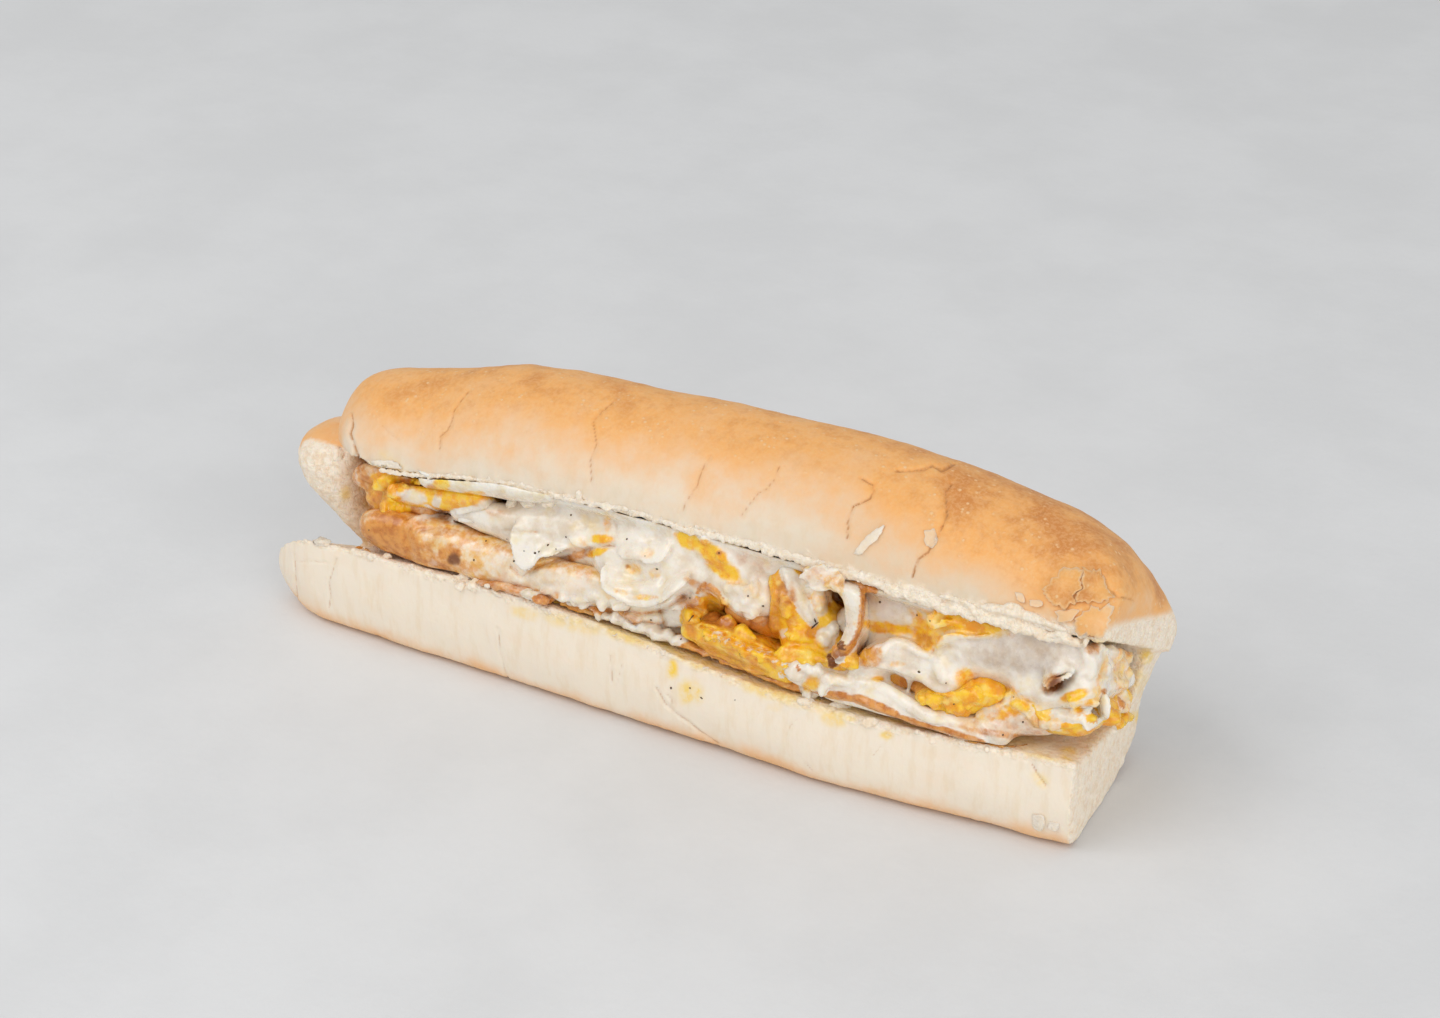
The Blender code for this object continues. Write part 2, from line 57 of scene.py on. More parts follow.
Colour = tuple[float, float, float, float]
Faces = list[tuple[int, ...]]
Form = tuple[Array, Faces, Array]
Piece = bpy.types.Object
Socket = bpy.types.NodeSocket
Material = bpy.types.Material

MM = 0.001
MIDDLE = (-0.2, 1.5)  # x and y of the sandwich's middle in the roll's frame
BODY = "root"
# the brown and the dark paint hold real browning and charring and also painted shade
PAINTS = ("yolk", "brown", "char")
log = logging.getLogger("sandwich")


class Slot(Enum):
    """The record's material slots."""

    BREAD = "bread"
    WHITE = "egg_white"
    YOLK = "egg_yolk"
    BROWNED = "browned_egg"


class Tint(Enum):
    """What a patch of the filling is coloured with; the brown and the dark tint also stand for painted
    shade.
    """

    YOLK = "yolk"
    BROWN = "brown"
    CHAR = "char"
    WHITE = "white"
    CREAM = "cream"


def along(knots: Knots, x: Array) -> Array:
    """The smooth curve through (x, value) knots.

    Args:
        knots: places and values, in rising order of place.
        x: where to read the curve; past its ends it keeps its end values.

    Returns:
        The values at x.
    """
    places, values = np.array(knots, float).T
    x = np.clip(np.asarray(x, float), places[0], places[-1])
    before = np.maximum(np.arange(len(knots)) - 1, 0)
    after = np.minimum(np.arange(len(knots)) + 1, len(knots) - 1)
    slopes = (values[after] - values[before]) / (places[after] - places[before])
    i = np.clip(np.searchsorted(places, x, side="right") - 1, 0, len(knots) - 2)
    span = places[i + 1] - places[i]
    t = (x - places[i]) / span
    return (
        values[i] * (1 + 2 * t) * (1 - t) ** 2
        + values[i + 1] * t * t * (3 - 2 * t)
        + slopes[i] * span * t * (1 - t) ** 2
        - slopes[i + 1] * span * t * t * (1 - t)
    )


def ramp(low: float, high: float, value: Array) -> Array:
    """A smooth step from 0 at low to 1 at high, which may lie below low."""
    t = np.clip((value - low) / (high - low), 0.0, 1.0)
    return t * t * (3 - 2 * t)


def bell(value: Array) -> Array:
    """A soft hump, 1 at 0 and about a third at 1."""
    return np.exp(-(value**2))


def unit(vectors: Array) -> Array:
    """The vectors at length one."""
    return vectors / np.maximum(np.linalg.norm(vectors, axis=-1, keepdims=True), 1e-12)


def lengths_along(corners: Array) -> Array:
    """How far each corner of a path lies along it."""
    return np.concatenate(([0], np.cumsum(np.linalg.norm(np.diff(corners, axis=0), axis=1))))


def curve(places: Array, corners: Array, at: Array) -> Array:
    """The smooth curve that meets each corner at its place, read at other places."""
    return np.stack([along(tuple(zip(places, values)), at) for values in corners.T], axis=1)


def show(name: str, data: bpy.types.ID) -> Piece:
    """Puts a new object in the scene.

    Args:
        name: the object's name.
        data: its mesh, light or camera.

    Returns:
        The object.
    """
    obj = bpy.data.objects.new(name, data)
    bpy.context.scene.collection.objects.link(obj)
    return obj


def aim(obj: Piece, place: Vector, way: Vector) -> None:
    """Sets down a camera or a light.

    Args:
        obj: what is set down.
        place: where, in metres.
        way: where it looks.
    """
    obj.location = place
    obj.rotation_mode = "QUATERNION"
    obj.rotation_quaternion = way.to_track_quat("-Z", "Y")


@dataclass(frozen=True)
class Grain:
    """Uneven values through space, such as lumps and ripples, the same each run."""

    size: float
    octaves: int = 3
    seed: int = 1
    stretch: Triple = (1.0, 1.0, 1.0)

    def lattice(self, places: Array, seed: int) -> Array:
        """One octave of smooth noise, from -1 to 1.

        Args:
            places: points, one lump apart at whole numbers.
            seed: which noise.

        Returns:
            A value a point.
        """
        whole = np.floor(places).astype(np.int64)
        part = places - whole
        part = part * part * (3 - 2 * part)
        total = np.zeros(len(places))
        for corner in range(8):
            step = np.array((corner & 1, corner >> 1 & 1, corner >> 2 & 1))
            at = whole + step
            mixed = at[:, 0] * 73856093 ^ at[:, 1] * 19349663 ^ at[:, 2] * 83492791 ^ seed * 2654435761
            mixed = (mixed ^ mixed >> 13) * 1274126177 & 0xFFFFFFFF
            mixed = (mixed ^ mixed >> 16) & 0xFFFF
            weight = np.prod(np.where(step, part, 1 - part), axis=1)
            total += weight * (mixed / 32767.5 - 1)
        return total

    def at(self, points: Array) -> Array:
        """The noise at points.

        Args:
            points: places in millimetres.

        Returns:
            About -1 to 1 a point.
        """
        places = points / self.size / np.array(self.stretch)
        total, share, norm = np.zeros(len(points)), 1.0, 0.0
        for octave in range(self.octaves):
            total += share * self.lattice(places * 2**octave + 17.3 * octave, self.seed + octave)
            norm += share
            share *= 0.5
        return total / norm * 1.6


@dataclass(frozen=True)
class Sight:
    """Where the photograph was taken from, and how its pixels meet the model."""

    azimuth: float = 27.0
    elevation: float = 30.9
    distance: float = 610.3
    target: Triple = (6.1, -1.5, 47.9)
    lens: float = 70.0
    sensor: float = 36.0
    width: int = 1440
    height: int = 1018

    @property
    def back(self) -> Array:
        """The way from the target to the camera."""
        a, e = math.radians(self.azimuth), math.radians(self.elevation)
        return np.array((math.sin(a) * math.cos(e), -math.cos(a) * math.cos(e), math.sin(e)))

    @property
    def right(self) -> Array:
        """The way to the right in the picture."""
        a = math.radians(self.azimuth)
        return np.array((math.cos(a), math.sin(a), 0.0))

    @property
    def up(self) -> Array:
        """The way up in the picture."""
        return np.cross(self.back, self.right)

    @property
    def place(self) -> Array:
        """Where the camera stands."""
        return np.array(self.target) + self.back * self.distance

    @property
    def scale(self) -> float:
        """The focal length in pixels."""
        return self.lens / self.sensor * self.width

    def pixels(self, points: Array) -> Array:
        """Where points show in the photograph.

        Args:
            points: places in millimetres in the model's frame.

        Returns:
            An x and y a point.
        """
        rel = points - self.place
        depth = -rel @ self.back
        x = self.width / 2 + self.scale * (rel @ self.right) / depth
        y = self.height / 2 - self.scale * (rel @ self.up) / depth
        return np.stack((x, y), axis=1)

    def rays(self, pixels: Array) -> Array:
        """The ways from the camera through pixels.

        Args:
            pixels: an x and y a point.

        Returns:
            The ways, one long towards the target.
        """
        x = (pixels[..., :1] - self.width / 2) / self.scale
        y = (pixels[..., 1:2] - self.height / 2) / self.scale
        return x * self.right - y * self.up - self.back

    def at(self, pixels: Array, depth: Array) -> Array:
        """The places that show at pixels, at a depth from the camera in millimetres."""
        return self.place + depth[..., None] * self.rays(pixels)

    def make_camera(self) -> Piece:
        """Makes the scene's camera.

        Returns:
            The camera.
        """
        data = bpy.data.cameras.new("camera")
        data.lens, data.sensor_width = self.lens, self.sensor
        camera = show("camera", data)
        aim(camera, Vector(self.place) * MM, Vector(-self.back))
        bpy.context.scene.camera = camera
        return camera


@dataclass(frozen=True)
class Line:
    """A crease or a ridge drawn over the food along a path of pixels."""

    path: Path
    width: float
    height: float
    on: str = ""


def pairs(*values: float) -> Path:
    """The pixels that x and y by turns give."""
    return tuple(zip(values[::2], values[1::2]))


def lines(on: str, *rows: Row) -> tuple[Line, ...]:
    """Lines on one mass, by the width, height and the corners' x and y of each one."""
    return tuple(Line(pairs(*row[2:]), *row[:2], on) for row in rows)


@dataclass(frozen=True)
class Patch:
    """An uneven oval of colour on the food, by its pixels."""

    tint: Tint
    centre: Pixel
    radii: Pixel
    turn: float = 0.0
    strength: float = 1.0
    on: str = ""

    def over(self, pixels: Array, warp: Array) -> Array:
        """How strongly the patch covers points.

        Args:
            pixels: where the points show.
            warp: what makes its edge uneven, a value a point.

        Returns:
            0 to 1 a point.
        """
        turn = math.radians(self.turn)
        rel = pixels - np.array(self.centre)
        u = (rel[:, 0] * math.cos(turn) + rel[:, 1] * math.sin(turn)) / self.radii[0]
        v = (rel[:, 1] * math.cos(turn) - rel[:, 0] * math.sin(turn)) / self.radii[1]
        return self.strength * ramp(1.45, 0.55, np.hypot(u, v) + 0.25 * warp)


def patches(tint: Tint, on: str, *rows: Row) -> tuple[Patch, ...]:
    """Patches of one colour, by the x and y of each one's centre, its two radii, turn and strength."""
    return tuple(Patch(tint, row[:2], row[2:4], *row[4:], on=on) for row in rows)


def distance_to_path(pixels: Array, path: Path) -> Array:
    """How far pixels lie from a path.

    Args:
        pixels: an x and y a point.
        path: the corners of the path.

    Returns:
        A distance in pixels a point.
    """
    nearest = np.full(len(pixels), 1e9)
    for start, end in zip(path, path[1:]):
        start, way = np.array(start), np.array(end) - np.array(start)
        t = np.clip((pixels - start) @ way / (way @ way), 0.0, 1.0)
        nearest = np.minimum(nearest, np.linalg.norm(pixels - start - t[:, None] * way, axis=1))
    return nearest


class Skin:
    """The points of a mesh as arrays in millimetres, to be moved and painted."""

    def __init__(self, obj: Piece, sight: Sight) -> None:
        """Reads the mesh.

        Args:
            obj: the piece.
            sight: where its pixels are seen from.
        """
        self.obj, self.sight = obj, sight
        self.co = self.read("co")
        self.refresh()

    def read(self, what: str) -> Array:
        """Reads the mesh's points or normals.

        Args:
            what: co for the points, normal for the normals.

        Returns:
            Three numbers a point, the points' in millimetres.
        """
        source = self.obj.data.vertices if what == "co" else self.obj.data.vertex_normals
        values = np.empty(len(source) * 3, np.float32)
        source.foreach_get(what if what == "co" else "vector", values)
        return values.reshape(-1, 3).astype(float) * (1 / MM if what == "co" else 1.0)

    def refresh(self) -> None:
        """Writes the points back and reads the normals and pixels again."""
        self.obj.data.vertices.foreach_set("co", (self.co * MM).astype(np.float32).ravel())
        self.obj.data.update()
        self.normals = self.read("normal")
        self.pixels = self.sight.pixels(self.co)
        self.facing = self.normals @ self.sight.back

    def push(self, amount: Array) -> None:
        """Moves each point out along its normal by an amount in millimetres."""
        self.co += self.normals * amount[:, None]
        self.refresh()

    def hollow(self, rounds: int) -> Array:
        """How far each point lies below its softened surroundings.

        Args:
            rounds: how often the surroundings are softened.

        Returns:
            Millimetres a point, under 0 on ridges.
        """
        soften(self.obj, rounds)
        graph = bpy.context.evaluated_depsgraph_get()
        graph.update()
        soft = np.empty(len(self.co) * 3, np.float32)
        self.obj.evaluated_get(graph).data.vertices.foreach_get("co", soft)
        self.obj.modifiers.clear()
        return ((soft.reshape(-1, 3) / MM - self.co) * self.normals).sum(axis=1)

    def paint(self, name: str, values: Array) -> None:
        """Stores a value a point for the materials to read.

        Args:
            name: the attribute's name.
            values: from 0 to 1 a point.
        """
        known = self.obj.data.attributes
        attribute = known.get(name) or known.new(name, "FLOAT", "POINT")
        attribute.data.foreach_set("value", np.clip(values, 0.0, 1.0).astype(np.float32))

    def near(self, path: Path, reach: float) -> tuple[Array, Array]:
        """The points that show near a path.

        Args:
            path: the path's pixels.
            reach: how far from it, in pixels.

        Returns:
            The points' numbers and their distances.
        """
        low, high = np.min(path, axis=0) - reach, np.max(path, axis=0) + reach
        held = (self.pixels > low).all(axis=1) & (self.pixels < high).all(axis=1) & (self.facing > -0.2)
        chosen = np.nonzero(held)[0]
        distance = distance_to_path(self.pixels[chosen], path)
        return chosen[distance < reach], distance[distance < reach]


@dataclass(frozen=True)
class RollShape:
    """The roll's profiles along its length, which its solid and the egg's folds follow."""

    lower_lip_y: Knots = ((-105, -14.5), (-90, -18.4), (-40, -20.4), (40, -23.0), (98, -20.2))
    lower_lip_z: Knots = ((-105, 18), (-88, 23.5), (-60, 24.4), (-20, 24.6), (40, 20.6), (98, 22.4))
    lower_back_y: Knots = ((-105, -2), (-90, 9.5), (-75, 16), (-30, 21.5), (40, 24), (98, 21))
    lower_hinge_z: Knots = ((-105, 8), (-88, 8), (-70, 12.5), (0, 13), (98, 14))
    lower_hinge_inset: float = 3.0
    upper_lip_y: Knots = ((-91, -15.0), (-70, -17.5), (40, -18.5), (101, -17.5))
    upper_lip_z: Knots = ((-91, 47), (-63, 48.0), (-35, 53.0), (30, 53.2), (75, 50.6), (101, 52.5))
    upper_width: Knots = ((-91, 35), (-60, 43), (0, 46), (60, 46), (101, 44))
    upper_tilt: Knots = ((-91, 32), (0, 35), (101, 33))
    upper_face: float = 0.94
    hinge_wall_y: Knots = ((-97, -8), (-84, -6), (-74, 3), (-55, 12), (70, 14), (98, 9.5))
    margin: float = 0.5
    narrowing: float = 1.6

    def lower_lip(self, x: Array) -> Array:
        """The lower half's lip at x, as (y, z)."""
        return np.stack((along(self.lower_lip_y, x), along(self.lower_lip_z, x)), axis=1)

    def upper_lip(self, x: Array) -> Array:
        """The upper half's lip at x, as (y, z)."""
        return np.stack((along(self.upper_lip_y, x), along(self.upper_lip_z, x)), axis=1)

    def lower_inward(self, x: Array) -> Array:
        """The way from the lower lip along the cut face to the hinge.

        Args:
            x: along the roll.

        Returns:
            A y and z of length one a place.
        """
        y = along(self.lower_back_y, x) - self.lower_hinge_inset
        edge = np.stack((y, along(self.lower_hinge_z, x)), axis=1)
        return unit(edge - self.lower_lip(x))

    def upper_inward(self, x: Array) -> Array:
        """The way from the upper lip along the cut face to the hinge."""
        tilt = np.radians(along(self.upper_tilt, x))
        return np.stack((np.cos(tilt), -np.sin(tilt)), axis=1)

    def in_mouth(self, x: Array, height: Array, depth: Array) -> Array:
        """Places in the filling.

        Args:
            x: along the roll.
            height: above the lower lip, at the mouth.
            depth: behind the lips.

        Returns:
            Points in the model's frame.
        """
        low, high = self.lower_lip(x), self.upper_lip(x)
        mouth = high[:, 1] - low[:, 1]
        margin = self.margin / mouth * self.narrowing
        share = np.clip(height / mouth, margin, 1 - margin)[:, None]
        under = low + self.lower_inward(x) * depth[:, None]
        over = high + self.upper_inward(x) * depth[:, None]
        place = under * (1 - share) + over * share
        return np.stack((x - MIDDLE[0], place[:, 0] - MIDDLE[1], place[:, 1]), axis=1)

    def cavity_depth(self, x: Array) -> Array:
        """The depth from the lips to the uncut bread."""
        return along(self.hinge_wall_y, x) - along(self.lower_lip_y, x) - self.margin


def new_piece(name: str, points: Array, faces: Faces) -> Piece:
    """A smooth mesh object in the scene.

    Args:
        name: the object's name.
        points: places in millimetres.
        faces: point numbers a face.

    Returns:
        The object.
    """
    mesh = bpy.data.meshes.new(name)
    mesh.from_pydata((points * MM).tolist(), [], faces)
    mesh.update()
    mesh.shade_smooth()
    return show(name, mesh)


def soften(obj: Piece, rounds: int) -> None:
    """Adds softening to the piece, that many times over."""
    softer = obj.modifiers.new("softer", "SMOOTH")
    softer.factor, softer.iterations = 0.5, rounds


def join(obj: Piece, others: list[Piece]) -> None:
    """Makes other pieces part of this one."""
    with bpy.context.temp_override(active_object=obj, selected_editable_objects=[obj, *others]):
        bpy.ops.object.join()


def apply_modifiers(obj: Piece) -> None:
    """Makes the object's mesh what its modifiers show.

    Args:
        obj: the piece.
    """
    graph = bpy.context.evaluated_depsgraph_get()
    graph.update()
    mesh = bpy.data.meshes.new_from_object(obj.evaluated_get(graph))
    obj.modifiers.clear()
    obj.data = mesh


def even_out(obj: Piece, voxel: float, rounds: int) -> None:
    """Makes the mesh again from even faces and softens it.

    Args:
        obj: the piece, which may be shapes run into each other.
        voxel: a face's side in millimetres.
        rounds: how often it is softened.
    """
    remesh = obj.modifiers.new("even", "REMESH")
    remesh.mode, remesh.voxel_size = "VOXEL", voxel * MM
    soften(obj, rounds)
    apply_modifiers(obj)


def triangles(obj: Piece) -> int:
    """How many triangles the mesh has."""
    return sum(len(face.vertices) - 2 for face in obj.data.polygons)


def thin_out(obj: Piece, most: int) -> None:
    """Merges points where the mesh is smoothest until few enough triangles are left.

    Args:
        obj: the piece.
        most: how many triangles it may keep.
    """
    count = triangles(obj)
    if count <= most:
        return
    thinner = obj.modifiers.new("thinner", "DECIMATE")
    thinner.ratio = most / count
    apply_modifiers(obj)


def split_faces(obj: Piece, chosen: Array) -> None:
    """Halves the edges of faces, so that fine relief fits there.

    Args:
        obj: the piece.
        chosen: True for each face to split.
    """
    mesh = bmesh.new()
    mesh.from_mesh(obj.data)
    faces = [face for face, held in zip(mesh.faces, chosen) if held]
    edges = list({edge for face in faces for edge in face.edges})
    bmesh.ops.subdivide_edges(mesh, edges=edges, cuts=1, use_grid_fill=True)
    mesh.to_mesh(obj.data)
    mesh.free()


def seat(obj: Piece, slot: Slot, *nodes: str) -> None:
    """Rides a piece on the sandwich.

    Args:
        obj: the piece.
        slot: the record's slot for the piece; not used.
        nodes: the solids that it stands for.
    """
    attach(obj, BODY)
    if nodes:
        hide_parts(*nodes)
    log.info("%s: %d triangles", obj.name, triangles(obj))


def tube(rings: Array) -> tuple[Array, Faces]:
    """A closed skin over rings of points.

    Args:
        rings: one ring after another, each with as many points.

    Returns:
        The points and the faces.
    """
    count, sides = rings.shape[:2]
    i, j = np.meshgrid(np.arange(count - 1), np.arange(sides), indexing="ij")
    k = (j + 1) % sides
    quads = np.stack((i * sides + j, (i + 1) * sides + j, (i + 1) * sides + k, i * sides + k), axis=-1)
    faces = [tuple(quad) for quad in quads.reshape(-1, 4).tolist()]
    faces += [tuple(range(sides)), tuple(range((count - 1) * sides, count * sides))[::-1]]
    return rings.reshape(-1, 3), faces


def smooth_path(path: Path, step: float) -> Array:
    """Even places along a soft curve through a path's corners.

    Args:
        path: the corners.
        step: from place to place, in pixels.

    Returns:
        An x and y a place.
    """
    corners = np.array(path, float)
    lengths = lengths_along(corners)
    return curve(lengths, corners, np.linspace(0, lengths[-1], max(6, round(lengths[-1] / step))))


def blur(values: Array, reach: int) -> Array:
    """The values along a line, each the mean of its neighbours that many places away."""
    padded = np.concatenate((np.repeat(values[:1], reach, 0), values, np.repeat(values[-1:], reach, 0)))
    return np.mean([padded[i : i + len(values)] for i in range(2 * reach + 1)], axis=0)


class Ground:
    """The food's outer face as the camera sees it, for pieces that lie on it."""

    def __init__(
        self, sight: Sight, pieces: list[Piece], spare: list[Piece] | None = None
    ) -> None:
        """Reads the pieces.

        Args:
            sight: where they are seen from.
            pieces: what lies under the new pieces.
            spare: what lies there where none of the pieces does.
        """
        self.sight, self.start = sight, Vector(sight.place * MM)
        graph = bpy.context.evaluated_depsgraph_get()
        graph.update()
        groups = (pieces, spare or [])
        self.layers = [[BVHTree.FromObject(piece, graph) for piece in group] for group in groups]

    def reach(self, layer: int, way: Array) -> list[float]:
        """How far along a way from the camera each piece of a layer is hit, endless where it isn't."""
        hits = [tree.ray_cast(self.start, Vector(way)) for tree in self.layers[layer]]
        return [math.inf if hit[0] is None else hit[3] for hit in hits]

    def depth(self, pixels: Array) -> Array:
        """How far the food lies from the camera.

        Args:
            pixels: an x and y a point.

        Returns:
            Depths in millimetres, where nothing is hit those of the nearest hit beside it.
        """
        ways = self.sight.rays(pixels.reshape(-1, 2))
        for layer in range(len(self.layers)):
            reach = [min(self.reach(layer, way), default=math.inf) for way in ways]
            depths = np.array(reach) / MM / np.linalg.norm(ways, axis=1)
            known = np.nonzero(depths < math.inf)[0]
            if len(known):
                nearest = known[np.abs(known[:, None] - np.arange(len(depths))).argmin(axis=0)]
                return depths[nearest].reshape(pixels.shape[:-1])
        raise ValueError("no food lies under these pixels")

    def owner(self, pixels: Array) -> int:
        """Which piece lies nearest the camera.

        Args:
            pixels: an x and y a point.

        Returns:
            The number of the one under most of the pixels.
        """
        votes = np.zeros(len(self.layers[0]))
        for way in self.sight.rays(pixels):
            reach = self.reach(0, way)
            if min(reach) < math.inf:
                votes[int(np.argmin(reach))] += 1
        return int(votes.argmax())


class Heap:
    """Many small shapes gathered into one mesh."""

    def __init__(self) -> None:
        """Starts empty."""
        self.points: list[Array] = []
        self.faces: Faces = []
        self.paints: list[dict[str, Array]] = []
        self.count = 0

    def add(self, points: Array, faces: Faces, paints: dict[str, object]) -> None:
        """Adds a shape.

        Args:
            points: its places in millimetres.
            faces: its faces.
            paints: values by name, each one number or one a point.
        """
        self.points.append(points)
        self.faces += [tuple(i + self.count for i in face) for face in faces]
        self.paints.append({name: np.broadcast_to(value, len(points)) for name, value in paints.items()})
        self.count += len(points)

    def painted(self, name: str) -> Array:
        """One paint of all the shapes, a value a point."""
        parts = [paints.get(name, np.zeros(len(shape))) for paints, shape in zip(self.paints, self.points)]
        return np.concatenate(parts)

    def nearest(self, places: Array, inner: float, outer: float) -> tuple[Array, Array]:
        """Which point of the shapes each place lies at.

        Args:
            places: in millimetres.
            inner: up to this distance a place belongs to its nearest point.
            outer: from this distance on it doesn't.

        Returns:
            The point's number, and how far the place belongs to it, 0 to 1.
        """
        points = np.concatenate(self.points)
        tree = KDTree(len(points))
        for number, point in enumerate(points):
            tree.insert(point, number)
        tree.balance()
        found = [tree.find(place) for place in places]
        number = np.array([hit[1] for hit in found])
        return number, ramp(outer, inner, np.array([hit[2] for hit in found]))

    def build(self, name: str, material: Material, sight: Sight) -> Piece:
        """The shapes as one piece.

        Args:
            name: the piece's name.
            material: its finish.
            sight: where its pixels are seen from.

        Returns:
            The piece.
        """
        obj = new_piece(name, np.concatenate(self.points), self.faces)
        skin = Skin(obj, sight)
        for paint in sorted({name for paints in self.paints for name in paints}):
            skin.paint(paint, self.painted(paint))
        obj.data.materials.append(material)
        return obj


@dataclass(frozen=True)
class Flap:
    """A thin sheet whose root lies in the food and whose rim stands off it.

    Both are paths of pixels; the lift and the thickness are in millimetres.
    """

    root: Path
    rim: Path
    lift: float = 1.2
    thick: float = 0.9
    tint: Tint = Tint.WHITE
    edge: Tint | None = None
    ruffle: float = 0.3

    step = 1.4
    across = 8

    def spots(self) -> Array:
        """Pixels in the food that it grows from."""
        return np.array(self.root, float)

    def shape(self, ground: Ground, seed: int) -> Form:
        """The sheet's mesh.

        Args:
            ground: what it lies on.
            seed: for its own waves.

        Returns:
            Points, faces, and how near each point is to the rim.
        """
        rim = smooth_path(self.rim, self.step)
        root = smooth_path(self.root, self.step)
        share = np.linspace(0, 1, len(rim))
        even = np.linspace(0, 1, len(root))
        root = np.stack([np.interp(share, even, values) for values in root.T], axis=1)
        t = np.linspace(0, 1, self.across + 1)
        taper = np.clip(1 - np.abs(2 * share - 1) ** 5, 0.01, 1) ** 0.5
        rim = root + (rim - root) * taper[:, None]
        pixels = root[:, None] * (1 - t)[:, None] + rim[:, None] * t[:, None]
        depth = ground.depth(pixels[:, (0, -1)])
        near, far = blur(depth[:, 0], 3), blur(np.minimum(depth[:, 0], depth[:, 1]), 3)
        ends = np.sqrt(np.clip(1 - np.abs(2 * share - 1) ** 6, 0.02, 1))
        rise = self.lift * np.sin(t * 0.6 * math.pi) / math.sin(0.6 * math.pi)
        depth = near[:, None] * (1 - t) + far[:, None] * t - rise * ends[:, None] + 0.3 * (1 - t)
        middle = ground.sight.at(pixels, depth)
        flat = middle.reshape(-1, 3)
        waves = self.ruffle * Grain(3.5, 2, 300 + seed).at(flat).reshape(depth.shape) * t
        middle = middle + waves[..., None] * ground.sight.back
        normal = unit(np.cross(np.gradient(middle, axis=0), np.gradient(middle, axis=1)))
        normal *= np.sign(normal @ ground.sight.back)[..., None]
        round_rim = np.sqrt(np.clip(1 - np.clip((t - 0.7) / 0.3, 0, 1) ** 2, 0.12, 1))
        half = self.thick / 2 * round_rim * ends[:, None]
        over, under = middle + normal * half[..., None], middle - normal * half[..., None]
        rings = np.concatenate((over, under[:, -2::-1]), axis=1)
        edge = np.concatenate((t, t[-2::-1]))
        points, faces = tube(rings)
        return points, faces, np.tile(ramp(0.72, 0.95, edge), len(rings))


@dataclass(frozen=True)
class Rope:
    """A rounded strand or rim that lies along a path of pixels.

    The width is in pixels, and the height over the food in millimetres.
    """

    path: Path
    width: float
    height: float = 1.0
    tint: Tint = Tint.WHITE
    edge: Tint | None = None
    rough: float = 0.12

    step = 1.4
    sides = 14

    def spots(self) -> Array:
        """Pixels in the food that it lies on."""
        return np.array(self.path, float)

    def shape(self, ground: Ground, seed: int) -> Form:
        """The strand's mesh.

        Args:
            ground: what it lies on.
            seed: for its own lumps.

        Returns:
            Points, faces, and how near each point is to its lower side.
        """
        path = smooth_path(self.path, self.step)
        depth = blur(ground.depth(path), 4)
        share = np.linspace(0, 1, len(path))
        size = np.sqrt(np.clip(1 - np.abs(2 * share - 1) ** 4, 0.01, 1))
        size *= 1 + 0.18 * Grain(3.0, 2, 400 + seed).at(ground.sight.at(path, depth))
        way = unit(np.gradient(path, axis=0))
        aside = -way[:, 1:] * ground.sight.right - way[:, :1] * ground.sight.up
        half = size * self.width / 2 * (depth / ground.sight.scale)
        turn = np.linspace(0, 2 * math.pi, self.sides, endpoint=False)
        middle = ground.sight.at(path, depth)
        wide = aside[:, None] * (half[:, None] * np.cos(turn))[..., None]
        high = ground.sight.back * ((self.height * size)[:, None] * np.sin(turn))[..., None]
        rings = middle[:, None] + wide + high
        points, faces = tube(rings)
        points = points + ground.sight.back * (self.rough * Grain(1.2, 2, 500 + seed).at(points))[:, None]
        return points, faces, np.tile(ramp(0.3, 0.9, np.cos(turn)), len(rings))


@dataclass(frozen=True)
class Lump:
    """An uneven crumb or curd at a pixel; its radii are in pixels, its depth in millimetres."""

    centre: Pixel
    radii: Pixel
    deep: float = 1.2
    tint: Tint = Tint.WHITE
    edge: Tint | None = None
    turn: float = 0.0
    rough: float = 0.25

    def spots(self) -> Array:
        """Pixels in the food that it lies on."""
        return np.array([self.centre])

    def shape(self, ground: Ground, seed: int, fine: int = 3) -> Form:
        """The lump's mesh.

        Args:
            ground: what it lies on.
            seed: for its own form.
            fine: how often its ball is split.

        Returns:
            Points, faces, and 0 a point.
        """
        ball, faces = Lump.ball(fine)
        depth = float(ground.depth(np.array([self.centre]))[0])
        turn = math.radians(self.turn)
        right = ground.sight.right * math.cos(turn) - ground.sight.up * math.sin(turn)
        up = ground.sight.right * math.sin(turn) + ground.sight.up * math.cos(turn)
        size = depth / ground.sight.scale
        swell = 1 + self.rough * Grain(0.55, 3, 600 + seed).at(ball)
        local = ball * swell[:, None]
        points = ground.sight.at(np.array(self.centre), np.array(depth))
        wide, high = self.radii[0] * size, self.radii[1] * size
        points = points + local[:, :1] * right * wide + local[:, 1:2] * up * high
        points = points + local[:, 2:] * ground.sight.back * self.deep
        return points, faces, np.zeros(len(points))

    @staticmethod
    def ball(fine: int) -> tuple[Array, Faces]:
        """A ball of triangles.

        Args:
            fine: how often its faces are split.

        Returns:
            Its points, one from the middle, and its faces.
        """
        mesh = bmesh.new()
        bmesh.ops.create_icosphere(mesh, subdivisions=fine, radius=1.0)
        points = np.array([vert.co[:] for vert in mesh.verts])
        faces = [tuple(vert.index for vert in face.verts) for face in mesh.faces]
        mesh.free()
        return points, faces


def ropes(tint: Tint, rough: float, *rows: Row) -> tuple[Rope, ...]:
    """Strands of one colour, by the width, height and the corners' x and y of each one."""
    return tuple(Rope(pairs(*row[2:]), *row[:2], tint, None, rough) for row in rows)


def lumps(tint: Tint, rough: float, *rows: Row) -> tuple[Lump, ...]:
    """Lumps of one colour, by the x and y of each one's centre, its two radii, depth and turn."""
    return tuple(Lump(row[:2], row[2:4], row[4], tint, None, sum(row[5:]), rough) for row in rows)


